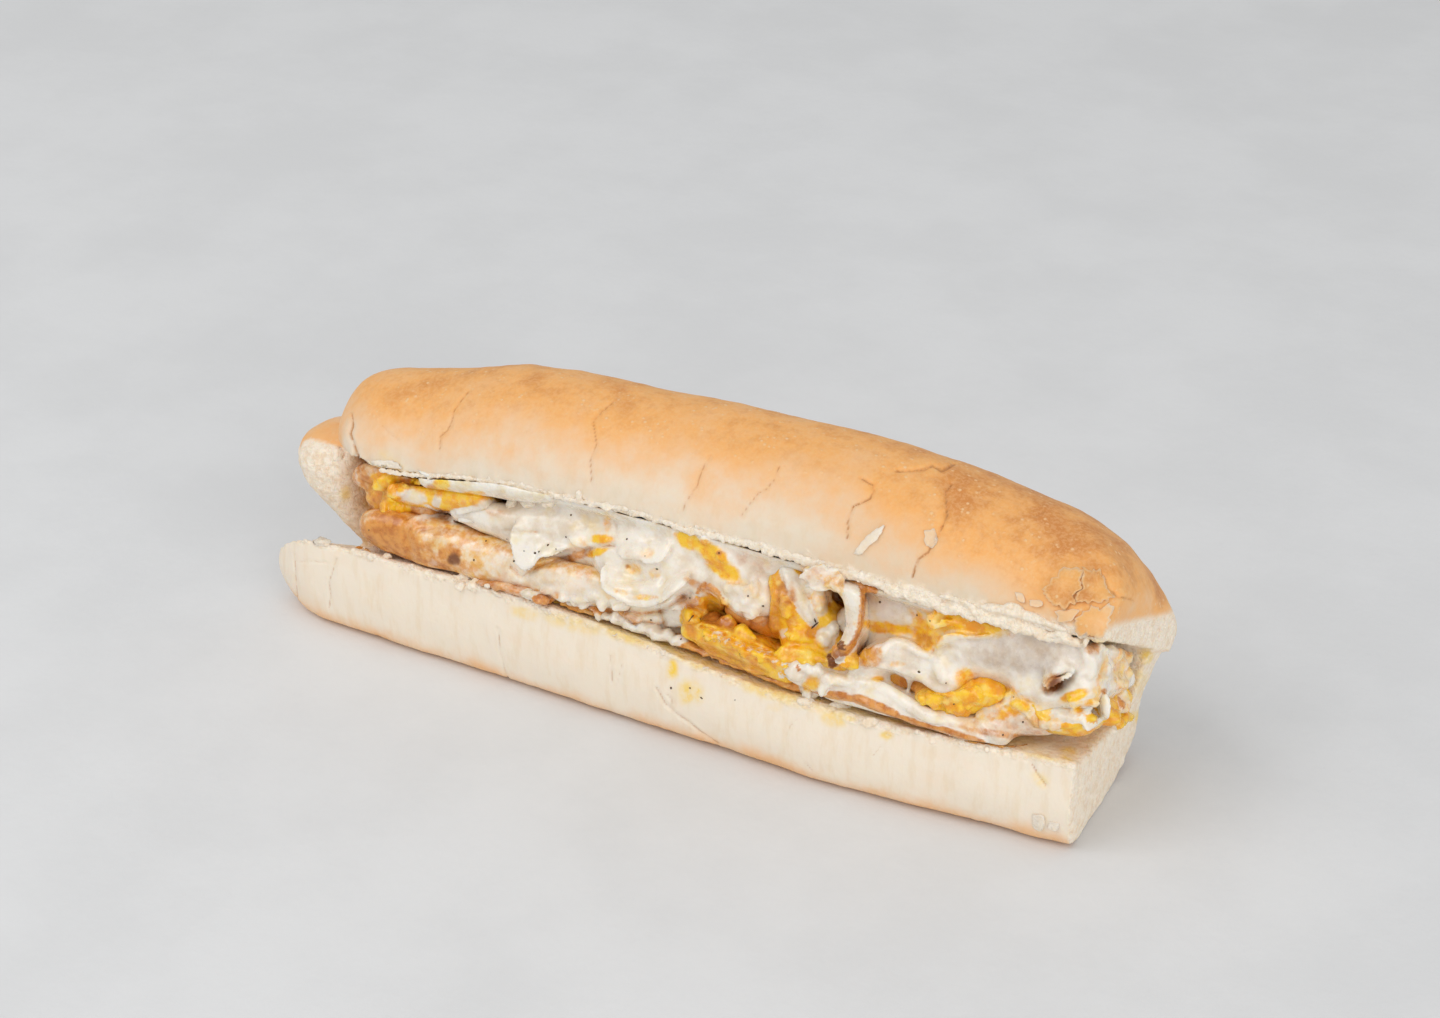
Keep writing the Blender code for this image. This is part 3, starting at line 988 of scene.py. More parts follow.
def beads(
    path: Path, radius: float, count: int, tint: Tint = Tint.WHITE, deep: float = 1.6, rough: float = 0.4
) -> tuple[Lump, ...]:
    """Lumps strewn along a path of pixels.

    Args:
        path: its corners.
        radius: a lump's usual radius in pixels.
        count: how many there are.
        tint: their colour.
        deep: how far they stand out, in millimetres.
        rough: how uneven they are.

    Returns:
        The lumps.
    """
    chance = np.random.default_rng(round(path[0][0]) + count)
    line = smooth_path(path, 1.0)
    spots = line[np.linspace(0, len(line) - 1, count).astype(int)]
    spots = spots + chance.normal(0, radius * 0.35, (count, 2))
    sizes = radius * chance.uniform(0.65, 1.25, (count, 2))
    return tuple(
        Lump(tuple(spot), tuple(size), deep * float(chance.uniform(0.7, 1.2)), tint, None, 0.0, rough)
        for spot, size in zip(spots, sizes)
    )


def linear(*channels: float) -> Colour:
    """A colour as shown on a screen, 0 to 255 a channel, in the renderer's own numbers."""
    shares = [value / 255 for value in channels]
    return (*(v / 12.92 if v <= 0.04045 else ((v + 0.055) / 1.055) ** 2.4 for v in shares), 1.0)


class Recipe:
    """A material's nodes, put together step by step."""

    def __init__(self, name: str) -> None:
        """Starts from an empty finish.

        Args:
            name: the material's name.
        """
        self.material = bpy.data.materials.new(name)
        self.material.use_nodes = True
        self.tree = self.material.node_tree
        self.shader = self.tree.nodes["Principled BSDF"]
        self.place = self.tree.nodes.new("ShaderNodeTexCoord").outputs["Object"]

    def put(self, kind: str, inputs: dict[str | int, object], **settings: object) -> bpy.types.Node:
        """Adds a node.

        Args:
            kind: the node's type.
            inputs: a value or a socket for each input.
            settings: the node's own settings.

        Returns:
            The node.
        """
        node = self.tree.nodes.new(kind)
        for name, value in settings.items():
            setattr(node, name, value)
        for name, value in inputs.items():
            self.feed(node.inputs[name], value)
        return node

    def feed(self, socket: Socket, value: object) -> None:
        """Gives an input a value, or what another node puts out."""
        if isinstance(value, Socket):
            self.tree.links.new(value, socket)
        else:
            socket.default_value = value

    def mask(self, name: str) -> Socket:
        """A value painted on the mesh."""
        return self.put("ShaderNodeAttribute", {}, attribute_name=name).outputs["Fac"]

    def spread(self, stretch: Triple) -> Socket:
        """The place in space, stretched along the axes."""
        shrink = tuple(1 / value for value in stretch)
        return self.put("ShaderNodeMapping", {"Vector": self.place, "Scale": shrink}).outputs["Vector"]

    def noise(self, size: float, detail: float = 3.0, stretch: Triple = (1, 1, 1)) -> Socket:
        """Soft noise of about 0.3 to 0.7, by a lump's length in millimetres and its finer octaves."""
        inputs = {"Vector": self.spread(stretch), "Scale": 1 / (size * MM), "Detail": detail}
        return self.put("ShaderNodeTexNoise", inputs | {"Roughness": 0.6}).outputs["Fac"]

    def cells(self, size: float) -> Socket:
        """The distance to the middle of cells about that many millimetres apart."""
        inputs = {"Vector": self.place, "Scale": 1 / (size * MM)}
        return self.put("ShaderNodeTexVoronoi", inputs).outputs["Distance"]

    def grade(self, value: object, low: float, high: float, start: float = 0, end: float = 1) -> Socket:
        """A smooth step of a value, which takes low to high into start to end."""
        inputs = {"Value": value, "From Min": low, "From Max": high, "To Min": start, "To Max": end}
        return self.put("ShaderNodeMapRange", inputs, interpolation_type="SMOOTHSTEP").outputs["Result"]

    def grain(self, size: float, detail: float, *steps: float) -> Socket:
        """Soft noise, graded."""
        return self.grade(self.noise(size, detail), *steps)

    def plus(self, first: object, second: object) -> Socket:
        """The sum of two values."""
        return self.put("ShaderNodeMath", {0: first, 1: second}, operation="ADD").outputs["Value"]

    def times(self, first: object, second: object) -> Socket:
        """The product of two values."""
        return self.put("ShaderNodeMath", {0: first, 1: second}, operation="MULTIPLY").outputs["Value"]

    def mix(self, share: object, first: object, second: object) -> Socket:
        """Two colours mixed, by the second's share."""
        return self.put("ShaderNodeMix", {"Factor": share, 6: first, 7: second}, data_type="RGBA").outputs[2]

    def bump(self, height: object, depth: float, below: object = None) -> Socket:
        """Fine relief, its height from 0 to 1 and its depth in millimetres, on relief below it."""
        inputs = {"Height": height, "Distance": depth * MM, "Strength": 1.0}
        return self.put("ShaderNodeBump", inputs | ({"Normal": below} if below else {})).outputs["Normal"]

    def finish(self, colour: object, roughness: object, normal: object, **fixed: object) -> Material:
        """The material, with the shader's other inputs by name, each the same all over."""
        for name, value in {"Base_Color": colour, "Roughness": roughness, "Normal": normal, **fixed}.items():
            self.feed(self.shader.inputs[name.replace("_", " ")], value)
        return self.material


@dataclass(frozen=True)
class BreadFinish:
    """Soft crust that runs from pale sides to a golden crown, over torn crumb."""

    pale: Colour = linear(244, 231, 212)
    cream: Colour = linear(236, 216, 186)
    golden: Colour = linear(243, 178, 104)
    toasted: Colour = linear(212, 140, 74)
    # light blisters on the crust, partly painted glints
    blister_and_glint: Colour = linear(242, 198, 146)
    crumb: Colour = linear(254, 239, 219)
    crumb_deep: Colour = linear(240, 212, 177)
    torn: Colour = linear(196, 136, 80)
    # painted shade: the darker pale of the upper half's front crust
    painted_shade: Colour = linear(206, 188, 160)
    stain: Colour = linear(250, 210, 84)
    # deep in the mouth: partly egg soaking into the crumb, partly painted shade
    soaked_and_shaded: Colour = linear(206, 156, 92)

    def make(self) -> Material:
        """The material.

        Returns:
            Bread that reads the painted bake, crumb, tear and stain, and the painted shade of the upper
            front and of the deep mouth, which is partly soaking.
        """
        mix = Recipe("bread")
        bake, crumb = mix.mask("bake"), mix.mask("crumb")
        cloudy = mix.noise(11.0, 5.0)
        uneven = mix.plus(bake, mix.grade(cloudy, 0.3, 0.7, -0.14, 0.14))
        streaky = mix.grade(mix.noise(2.2, 3.0, (1, 1, 5)), 0.45, 0.7, 0.0, 0.45)
        pale = mix.mix(streaky, self.pale, self.cream)
        # painted shade: darkens the upper half's pale front crust, more towards the right
        pale = mix.mix(mix.times(mix.mask("painted_shade"), 0.55), pale, self.painted_shade)
        crust = mix.mix(mix.grade(uneven, 0.0, 0.9), pale, self.golden)
        crust = mix.mix(mix.grade(uneven, 0.82, 1.1), crust, self.toasted)
        mottle = mix.times(mix.grain(2.6, 5.0, 0.45, 0.7), mix.grade(bake, 0.4, 1.0, 0.0, 0.4))
        crust = mix.mix(mottle, crust, self.toasted)
        # pale grain and specks on the baked crust: real blisters, and partly painted glints
        grain = mix.grain(0.8, 3.0, 0.42, 0.6)
        crust = mix.mix(mix.times(grain, mix.grade(bake, 0.3, 0.9, 0.0, 0.26)), crust, self.blister_and_glint)
        speck = mix.grade(mix.cells(1.5), 0.34, 0.14)
        chosen = mix.grain(5.0, 2.0, 0.5, 0.6)
        speck = mix.times(mix.times(speck, chosen), mix.grade(bake, 0.35, 0.8, 0.0, 0.9))
        crust = mix.mix(speck, crust, self.blister_and_glint)
        airy = mix.grain(1.8, 4.0, 0.42, 0.66, 0.0, 0.6)
        inside = mix.mix(airy, self.crumb, self.crumb_deep)
        colour = mix.mix(crumb, crust, inside)
        tear = mix.times(mix.mask("tear"), mix.grain(2.4, 3.0, 0.35, 0.55, 0.35, 1.0))
        colour = mix.mix(mix.grade(tear, 0.2, 0.9, 0.0, 0.85), colour, self.torn)
        smear = mix.times(mix.mask("stain"), mix.grain(2.0, 4.0, 0.32, 0.6, 0.35, 1.0))
        colour = mix.mix(smear, colour, self.stain)
        # deep in the mouth: partly soaking, partly painted shade
        wet_and_shade = mix.times(mix.mask("soak"), mix.grain(3.0, 4.0, 0.3, 0.62, 0.45, 1.0))
        colour = mix.mix(wet_and_shade, colour, self.soaked_and_shaded)
        skin = mix.bump(mix.noise(1.6, 4.0, (1, 1.5, 1.5)), 0.16)
        skin = mix.bump(speck, 0.10, skin)
        pores = mix.times(mix.grain(1.1, 4.0, 0.35, 0.6), crumb)
        skin = mix.bump(pores, 0.18, skin)
        rough = mix.grade(crumb, 0.0, 1.0, 0.55, 0.85)
        return mix.finish(
            colour, rough, skin,
            Subsurface_Weight=0.2, Subsurface_Radius=(1.0, 0.7, 0.45), Subsurface_Scale=0.0025,
            Specular_IOR_Level=0.3,
        )


@dataclass(frozen=True)
class EggFinish:
    """Moist fried egg, from set white through yolk to browned and charred edges, with painted shade in its
    hollows and under its folds.
    """

    name: str
    white: Colour = linear(242, 234, 221)
    shade: Colour = linear(224, 208, 186)
    wash: Colour = linear(236, 210, 138)
    yolk: Colour = linear(253, 200, 40)
    light_yolk: Colour = linear(251, 220, 122)
    deep_yolk: Colour = linear(238, 160, 22)
    # brown and deep_brown colour real browning and also the painted shade in crevices, deep behind the lips
    # and under flaps
    brown: Colour = linear(222, 154, 74)
    deep_brown: Colour = linear(192, 116, 44)
    # the dark of charring, also used as painted shade on the shaded big fold and in dark slots
    char: Colour = linear(124, 70, 28)

    def make(self) -> Material:
        """The material.

        Returns:
            Egg that reads the painted yolk, browning and charring, which also carry painted shade.
        """
        mix = Recipe(self.name)
        white = mix.mix(mix.grain(5.0, 4.0, 0.42, 0.7), self.white, self.shade)
        white = mix.mix(mix.grain(6.0, 3.0, 0.5, 0.76, 0.0, 0.55), white, self.wash)
        yolk = mix.mix(mix.grain(3.4, 4.0, 0.4, 0.62), self.yolk, self.deep_yolk)
        yolk = mix.mix(mix.grain(3.1, 4.0, 0.52, 0.66, 0.0, 0.7), yolk, self.light_yolk)
        brown = mix.mix(mix.grain(2.2, 4.0, 0.4, 0.64), self.brown, self.deep_brown)
        ragged = mix.grain(1.8, 5.0, 0.3, 0.7, -0.22, 0.22)
        colour = white
        for name, tint in (("yolk", yolk), ("brown", brown), ("char", self.char)):
            mask = mix.mask(name)
            uneven = 0.35 if name == "char" else 1.0
            amount = mix.plus(mask, mix.times(ragged, mix.grade(mask, 0.0, 0.5, 0.0, uneven)))
            colour = mix.mix(mix.grade(amount, 0.0, 0.95), colour, tint)
        fine = mix.bump(mix.noise(1.6, 3.0), 0.07)
        rough = mix.grain(2.4, 3.0, 0.35, 0.65, 0.2, 0.38)
        return mix.finish(
            colour, rough, fine,
            Subsurface_Weight=0.35, Subsurface_Radius=(1.0, 0.75, 0.45), Subsurface_Scale=0.0025,
            Specular_IOR_Level=0.5, Coat_Weight=0.3, Coat_Roughness=0.12,
        )


@dataclass(frozen=True)
class PepperFinish:
    """Ground black pepper."""

    dark: Colour = linear(52, 40, 30)
    light: Colour = linear(104, 80, 52)

    def make(self) -> Material:
        """The material.

        Returns:
            Pepper.
        """
        mix = Recipe("pepper")
        tone = mix.mix(mix.grain(0.4, 2.0, 0.4, 0.6), self.dark, self.light)
        return mix.finish(tone, 0.7, mix.bump(mix.noise(0.3, 2.0), 0.05))


@dataclass(frozen=True)
class FloorFinish:
    """A plain pale floor."""

    colour: Colour = linear(226, 227, 228)

    def make(self) -> Material:
        """The material.

        Returns:
            The floor's grey, a little uneven.
        """
        mix = Recipe("floor")
        tone = mix.mix(mix.grain(60.0, 5.0, 0.35, 0.65), self.colour, tuple(0.95 * c for c in self.colour))
        return mix.finish(tone, 0.95, mix.bump(mix.noise(3.0, 3.0), 0.1), Specular_IOR_Level=0.1)


@dataclass(frozen=True)
class Flake:
    """A loose plate of crust, by its outline's pixels.

    One side is lifted by so many millimetres, towards the given way in the picture.
    """

    outline: Path
    lift: float = 0.7
    way: Pixel = (0.0, 1.0)
    bake: float = 0.7
    crumb: float = 0.0

    thick = 0.35
    rings = 5
    step = 1.6

    def add_to(self, heap: Heap, ground: Ground, seed: int) -> None:
        """Makes the plate.

        Args:
            heap: what it goes into.
            ground: the bread that it lies on.
            seed: for its ragged edge.
        """
        outline = smooth_path(self.outline + self.outline[:1], self.step)[:-1]
        middle = outline.mean(axis=0)
        ragged = 1 + 0.2 * Grain(4.0, 3, 700 + seed).at(np.pad(outline, ((0, 0), (0, 1))))
        shares = np.linspace(1, 0, self.rings + 1)[:-1]
        pixels = middle + (outline - middle) * (ragged[:, None] * shares[:, None, None])
        rel = (outline - middle) @ np.array(self.way)
        rel = rel / max(np.abs(rel).max(), 1)
        lift = 0.15 + self.lift * (0.5 + 0.5 * rel[None, :] * shares[:, None])
        depth = blur(ground.depth(pixels).T, 1).T
        top = ground.sight.at(pixels, depth - lift)
        under = ground.sight.at(pixels[:1], depth[:1] - lift[:1] + self.thick)
        count = len(outline)
        points = np.concatenate((under, top), axis=0)
        centre = top[-1].mean(axis=0)
        flat = np.concatenate((points.reshape(-1, 3), [centre]))
        faces = []
        for i in range(len(points) - 1):
            for j in range(count):
                k = (j + 1) % count
                faces.append((i * count + j, i * count + k, (i + 1) * count + k, (i + 1) * count + j))
        last = (len(points) - 1) * count
        faces += [(last + j, last + (j + 1) % count, len(flat) - 1) for j in range(count)]
        faces.append(tuple(range(count))[::-1])
        rim = np.concatenate((np.ones(2 * count), np.zeros(len(flat) - 2 * count)))
        paints = {"bake": self.bake * (1 - 0.35 * rim), "crumb": np.maximum(self.crumb, 0.2 * rim)}
        heap.add(flat, faces, paints)


@dataclass
class Roll:
    """The bread: two halves joined at the back and at the torn end."""

    sight: Sight
    shape: RollShape
    voxel: float = 0.95
    most_triangles: int = 184_000
    golden_from: Knots = ((-91, 3), (-55, 4), (0, 6.5), (45, 7.5), (75, 2.5), (101, -3))
    lip_sag: Knots = ((-75, 0.3), (-45, 0.9), (-30, 1.6), (-12, 1.2), (8, 0.6), (40, 0.8), (96, 0.5))
    lip_rise: float = 0.4
    torn_band: Knots = ((-92, 0.4), (20, 0.6), (45, 1.7), (96, 2.4))
    floor_gap: float = 0.02
    cracks: tuple[Line, ...] = lines("",
        (1.6, -0.7, 469, 390, 460, 401, 454, 410, 451, 422, 447, 430, 440, 436, 439, 449),
        (1.7, -0.8, 612, 402, 601, 412, 593, 420, 596, 443, 590, 458, 591, 484),
        (1.5, -0.7, 710, 455, 701, 471, 697, 486, 686, 501, 681, 514),
        (1.4, -0.7, 779, 466, 775, 478, 766, 489, 758, 493, 749, 504, 740, 517),
        (2.2, -1, 862, 478, 872, 484, 874, 491, 870, 498, 853, 506, 848, 517, 847, 538),
        (2.8, -1.1, 897, 470, 911, 470, 925, 468, 933, 464, 942, 470, 955, 463),
        (2.6, -1.1, 951, 484, 946, 491, 947, 517, 940, 530, 928, 552, 918, 559, 912, 577),
        (1.6, -0.7, 1032, 510, 1035, 516, 1046, 510),
        (2.4, -0.9, 1096, 569, 1104, 574, 1109, 587, 1118, 596, 1134, 600),
        (2.6, -1.1, 351, 414, 352, 426, 349, 433, 354, 448, 358, 457, 366, 463),
        (2.4, -0.9, 339, 447, 344, 452, 343, 458), (1.4, -0.4, 382, 425, 388, 432, 398, 440),
        (1.8, -0.5, 294, 554, 295, 575, 297, 598), (1.4, -0.4, 299, 562, 312, 561, 327, 563),
        (1.8, -0.6, 336, 559, 332, 572, 329, 582, 330, 598, 329, 608),
        (2.2, -0.8, 1032, 765, 1038, 776, 1046, 786),
        (1.6, -0.6, 497, 628, 499, 640, 500, 651, 504, 669, 509, 681),
        (1.5, -0.5, 610, 656, 611, 668, 612, 682), (1.3, -0.4, 621, 665, 619, 676, 616, 686),
        (2.2, -0.6, 656, 688, 665, 704, 676, 714, 688, 722, 700, 732, 718, 744),
        (1.6, -0.5, 666, 694, 672, 700, 670, 709), (1.2, -0.4, 796, 720, 790, 726, 787, 736),
        (1.4, -0.5, 881, 746, 877, 751, 872, 757), (1.4, -0.5, 806, 764, 809, 768, 812, 771),
    )
    flakes: tuple[Flake, ...] = (
        Flake(((1063, 568), (1081, 566), (1082, 575), (1080, 589), (1074, 597), (1076, 602), (1071, 607),
            (1057, 605), (1049, 598), (1043, 592), (1050, 581)), 0.6, (-0.3, 1.0), 0.95),
        Flake(((1083, 568), (1096, 568), (1101, 574), (1107, 584), (1110, 592), (1116, 597), (1096, 602),
            (1077, 602), (1076, 597), (1082, 588)), 0.5, (-0.5, 1.0), 1.0),
        Flake(((1054, 611), (1078, 610), (1072, 621), (1058, 621)), 0.5, (0.0, 1.0), 0.5),
        Flake(((1071, 623), (1084, 612), (1095, 604), (1100, 609), (1109, 604), (1113, 611), (1110, 622),
            (1101, 636), (1090, 638), (1076, 632)), 0.9, (0.4, 1.0), 0.7),
        Flake(((1015, 592), (1023, 594), (1024, 602), (1017, 600)), 0.6, (0.0, 1.0), 0.45),
        Flake(((1029, 600), (1042, 601), (1041, 607), (1031, 606)), 0.6, (0.0, 1.0), 0.4),
        Flake(((854, 553), (862, 541), (872, 532), (884, 525), (880, 536), (869, 546), (860, 556)), 0.35,
            (1.0, 0.6), 0.12, 0.2),
        Flake(((368, 463), (380, 460), (392, 461), (401, 468), (396, 471), (386, 470), (378, 474)), 0.9,
            (0.0, 1.0), 0.0, 0.6),
        Flake(((925, 531), (934, 528), (938, 540), (931, 549), (924, 543)), 0.25, (-1.0, 0.0), 0.45),
        Flake(((313, 540), (322, 537), (331, 541), (326, 546), (316, 546)), 0.6, (0.0, -1.0), 0.0, 0.7),
        Flake(((1032, 814), (1044, 818), (1042, 830), (1033, 828)), 0.5, (1.0, 0.0), 0.0, 0.6),
        Flake(((1048, 821), (1059, 824), (1056, 831), (1048, 828)), 0.5, (0.0, 1.0), 0.0, 0.6),
    )
    stains: tuple[Patch, ...] = patches(
        Tint.YOLK, "",
        (386, 492, 22, 28), (346, 493, 5, 7, 0, 0.6), (672, 669, 5, 10), (690, 692, 12, 11, 0, 0.8),
        (691, 657, 8, 4, 20, 0.5), (532, 615, 6, 4, 0, 0.35), (525, 613, 14, 6, 14, 0.5),
        (574, 624, 30, 7, 16, 0.5), (628, 635, 30, 8, 20, 0.65), (697, 659, 34, 8, 22, 0.7),
        (768, 690, 34, 9, 18, 0.6), (834, 718, 14, 8, 16, 0.6), (776, 706, 7, 5, 0, 0.3),
        (850, 719, 6, 3, 0, 0.7), (887, 735, 7, 4, 0, 0.75), (830, 712, 22, 7, 18, 0.35),
        (1146, 656, 7, 7, 0, 0.8), (1136, 680, 11, 14, 0, 0.35), (1139, 716, 8, 6, 0, 0.6),
        (1068, 753, 8, 7, 20, 0.75), (1100, 648, 17, 9, 10, 0.45), (1040, 780, 6, 10, -40, 0.4),
        (1045, 757, 20, 3, 12, 0.4),
    )

    def build(self) -> list[Piece]:
        """The roll and its loose flakes, modelled, painted and seated.

        Returns:
            The roll, which stands for its solid, and the flakes.
        """
        finish = BreadFinish().make()
        obj = show("roll_bread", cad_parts["roll"].data.copy())
        even_out(obj, self.voxel, 3)
        skin = Skin(obj, self.sight)
        split_faces(obj, self.worked(skin))
        skin = Skin(obj, self.sight)
        self.measure(skin)
        self.sculpt(skin)
        self.paint(skin)
        thin_out(obj, self.most_triangles)
        obj.data.materials.clear()
        obj.data.materials.append(finish)
        obj.data.shade_smooth()
        seat(obj, Slot.BREAD, "roll")
        heap, ground = Heap(), Ground(self.sight, [obj])
        for seed, flake in enumerate(self.flakes):
            flake.add_to(heap, ground, seed)
        flakes = heap.build("crust_flakes", finish, self.sight)
        seat(flakes, Slot.BREAD)
        return [obj, flakes]

    def worked(self, skin: Skin) -> Array:
        """Which faces get fine relief: those along cracks and along the lips.

        Args:
            skin: the roll's points.

        Returns:
            True or False a face.
        """
        held = np.zeros(len(skin.co), bool)
        for crack in self.cracks:
            held[skin.near(crack.path, 7.0)[0]] = True
        self.measure(skin)
        shown = skin.facing > -0.1
        held |= shown & ((self.from_high_lip < 2.6) | (self.from_low_lip < 2.4)) & (self.y < 5)
        polygons = skin.obj.data.polygons
        first = np.empty(len(polygons), np.int32)
        polygons.foreach_get("loop_start", first)
        corners = np.empty(len(skin.obj.data.loops), np.int32)
        skin.obj.data.loops.foreach_get("vertex_index", corners)
        return held[corners[first]]

    def measure(self, skin: Skin) -> None:
        """Finds where each point lies on the roll.

        Args:
            skin: the roll's points.
        """
        shape = self.shape
        x, y, z = skin.co[:, 0] + MIDDLE[0], skin.co[:, 1] + MIDDLE[1], skin.co[:, 2]
        low, high = shape.lower_lip(x), shape.upper_lip(x)
        low_in, high_in = shape.lower_inward(x), shape.upper_inward(x)
        self.x, self.y, self.z = x, y, z
        self.over_low = (z - low[:, 1]) * low_in[:, 0] - (y - low[:, 0]) * low_in[:, 1]
        self.under_high = (high[:, 1] - z) * high_in[:, 0] + (y - high[:, 0]) * high_in[:, 1]
        self.from_low_lip = np.hypot(y - low[:, 0], z - low[:, 1])
        self.from_high_lip = np.hypot(y - high[:, 0], z - high[:, 1])
        self.above_high_lip = z - high[:, 1]
        self.above_end = self.above_high_lip + 0.45 * np.maximum(y - high[:, 0], 0)
        between = ramp(-1.0, -0.3, self.over_low) * ramp(-1.0, -0.3, self.under_high)
        wall = along(shape.hinge_wall_y, x)
        self.mouth = between * ramp(wall + 2.0, wall + 1.2, y)
        torn = between * ramp(-80, -84, x) * ramp(41, 37, z + Grain(4.0, 3, 5).at(skin.co) * 2)
        cut_end = ramp(0.4, 0.65, skin.normals[:, 0]) * ramp(88, 92, x) * ramp(4.4, 2.2, self.above_end)
        self.crumb = np.maximum(np.maximum(self.mouth, torn), cut_end)
        self.upper = self.under_high < 2.0

    def sculpt(self, skin: Skin) -> None:
        """Lumps, streaks, pores, ragged lips and cracks.

        Args:
            skin: the roll's points.
        """
        crumb, crust = self.crumb, 1 - self.crumb
        push = 0.3 * Grain(13.0, 2, 11).at(skin.co)
        push += crust * 0.06 * Grain(4.0, 3, 12).at(skin.co)
        push += crust * 0.06 * Grain(1.8, 2, 13, (1, 4, 4)).at(skin.co)
        pits = np.maximum(Grain(1.9, 3, 14).at(skin.co), 0.0)
        push += crumb * (0.16 * Grain(2.6, 3, 15).at(skin.co) - 0.1 * pits)
        ragged = bell(self.from_high_lip / 1.5) + 0.8 * bell(self.from_low_lip / 1.4)
        push += ragged * 0.75 * Grain(2.0, 3, 16).at(skin.co)
        skin.push(push)
        skin.co[:, 2] -= along(self.lip_sag, self.x) * bell(self.from_high_lip / 2.6)
        skin.co[:, 2] += self.lip_rise * bell(self.from_low_lip / 2.0)
        skin.co[:, 2] = np.maximum(skin.co[:, 2], self.floor_gap)
        self.tear = np.zeros(len(skin.co))
        for crack in self.cracks:
            chosen, distance = skin.near(crack.path, crack.width * 4)
            wobble = 1 + 0.35 * Grain(2.0, 2, 17).at(skin.co[chosen])
            groove = bell(distance / (crack.width * 0.6 * wobble))
            move = 0.6 * crack.height * groove
            skin.co[chosen] += skin.normals[chosen] * move[:, None]
            shown = 0.5 + 0.5 * min(1.0, abs(crack.height)) ** 2
            self.tear[chosen] = np.maximum(self.tear[chosen], shown * bell(distance / (crack.width * 0.6)))
        skin.refresh()

    def paint(self, skin: Skin) -> None:
        """The bake, crumb, tears and stains, and painted shade on the upper front and deep in the mouth.

        Args:
            skin: the roll's points.
        """
        drift = Grain(9.0, 3, 21).at(skin.co) * 1.6
        start = along(self.golden_from, self.x)
        front = ramp(-9.0, 14.0, self.above_high_lip - start + drift)
        back = ramp(33.0, 49.0, self.z + drift)
        side = ramp(-4.0, 12.0, self.y)
        top = front * (1 - side) + back * side
        top = np.maximum(0.9 * top, 0.12) + 0.1 * ramp(35, 70, self.x) * ramp(0.4, 0.9, top)
        base = 0.6 * ramp(8.0, 0.5, self.z + drift * 0.6) + 0.3 * ramp(1.5, 0.2, self.z)
        # painted shade: darker pale crust on the upper half's front, more towards the right
        skin.paint("painted_shade", self.upper * (1 - side) * (0.6 + 0.4 * ramp(10, 60, self.x)))
        nub = ramp(-80, -86, self.x) * ramp(35, 41, self.z) * 0.6
        end = ramp(0.2, 0.5, skin.normals[:, 0]) * ramp(84, 92, self.x) * ramp(2.0, 4.6, self.above_end)
        bake = np.where(self.upper, np.maximum(top, 0.62 * end), base)
        skin.paint("bake", np.maximum(bake, nub))
        ragged = 0.9 * Grain(2.4, 3, 23).at(skin.co)
        high_band = along(self.torn_band, self.x)
        high_edge = ramp(high_band + 0.7, high_band, self.from_high_lip + ragged)
        edges = np.maximum(high_edge, ramp(1.7, 1.0, self.from_low_lip + ragged))
        skin.paint("crumb", np.maximum(self.crumb, edges * (self.y < 6)))
        skin.paint("tear", self.tear * 0.9)
        warp = Grain(2.2, 3, 22).at(skin.co)
        stain = np.zeros(len(skin.co))
        for patch in self.stains:
            stain = np.maximum(stain, patch.over(skin.pixels, warp) * (skin.facing > 0))
        oiled = ramp(0.8, 3.0, self.from_low_lip) * self.mouth * (self.z < 36) * ramp(-45, -5, self.x)
        stain = np.maximum(stain, oiled * (0.7 + 0.2 * warp) * ramp(94, 78, self.x))
        skin.paint("stain", stain)
        # painted shade, partly also soaking: darker crumb deep inside the mouth
        deep = ramp(6.0, 13.0, np.minimum(self.from_high_lip, self.from_low_lip)) * self.mouth
        skin.paint("soak", deep * ramp(-90, -80, self.x) * ramp(90, 76, self.x))


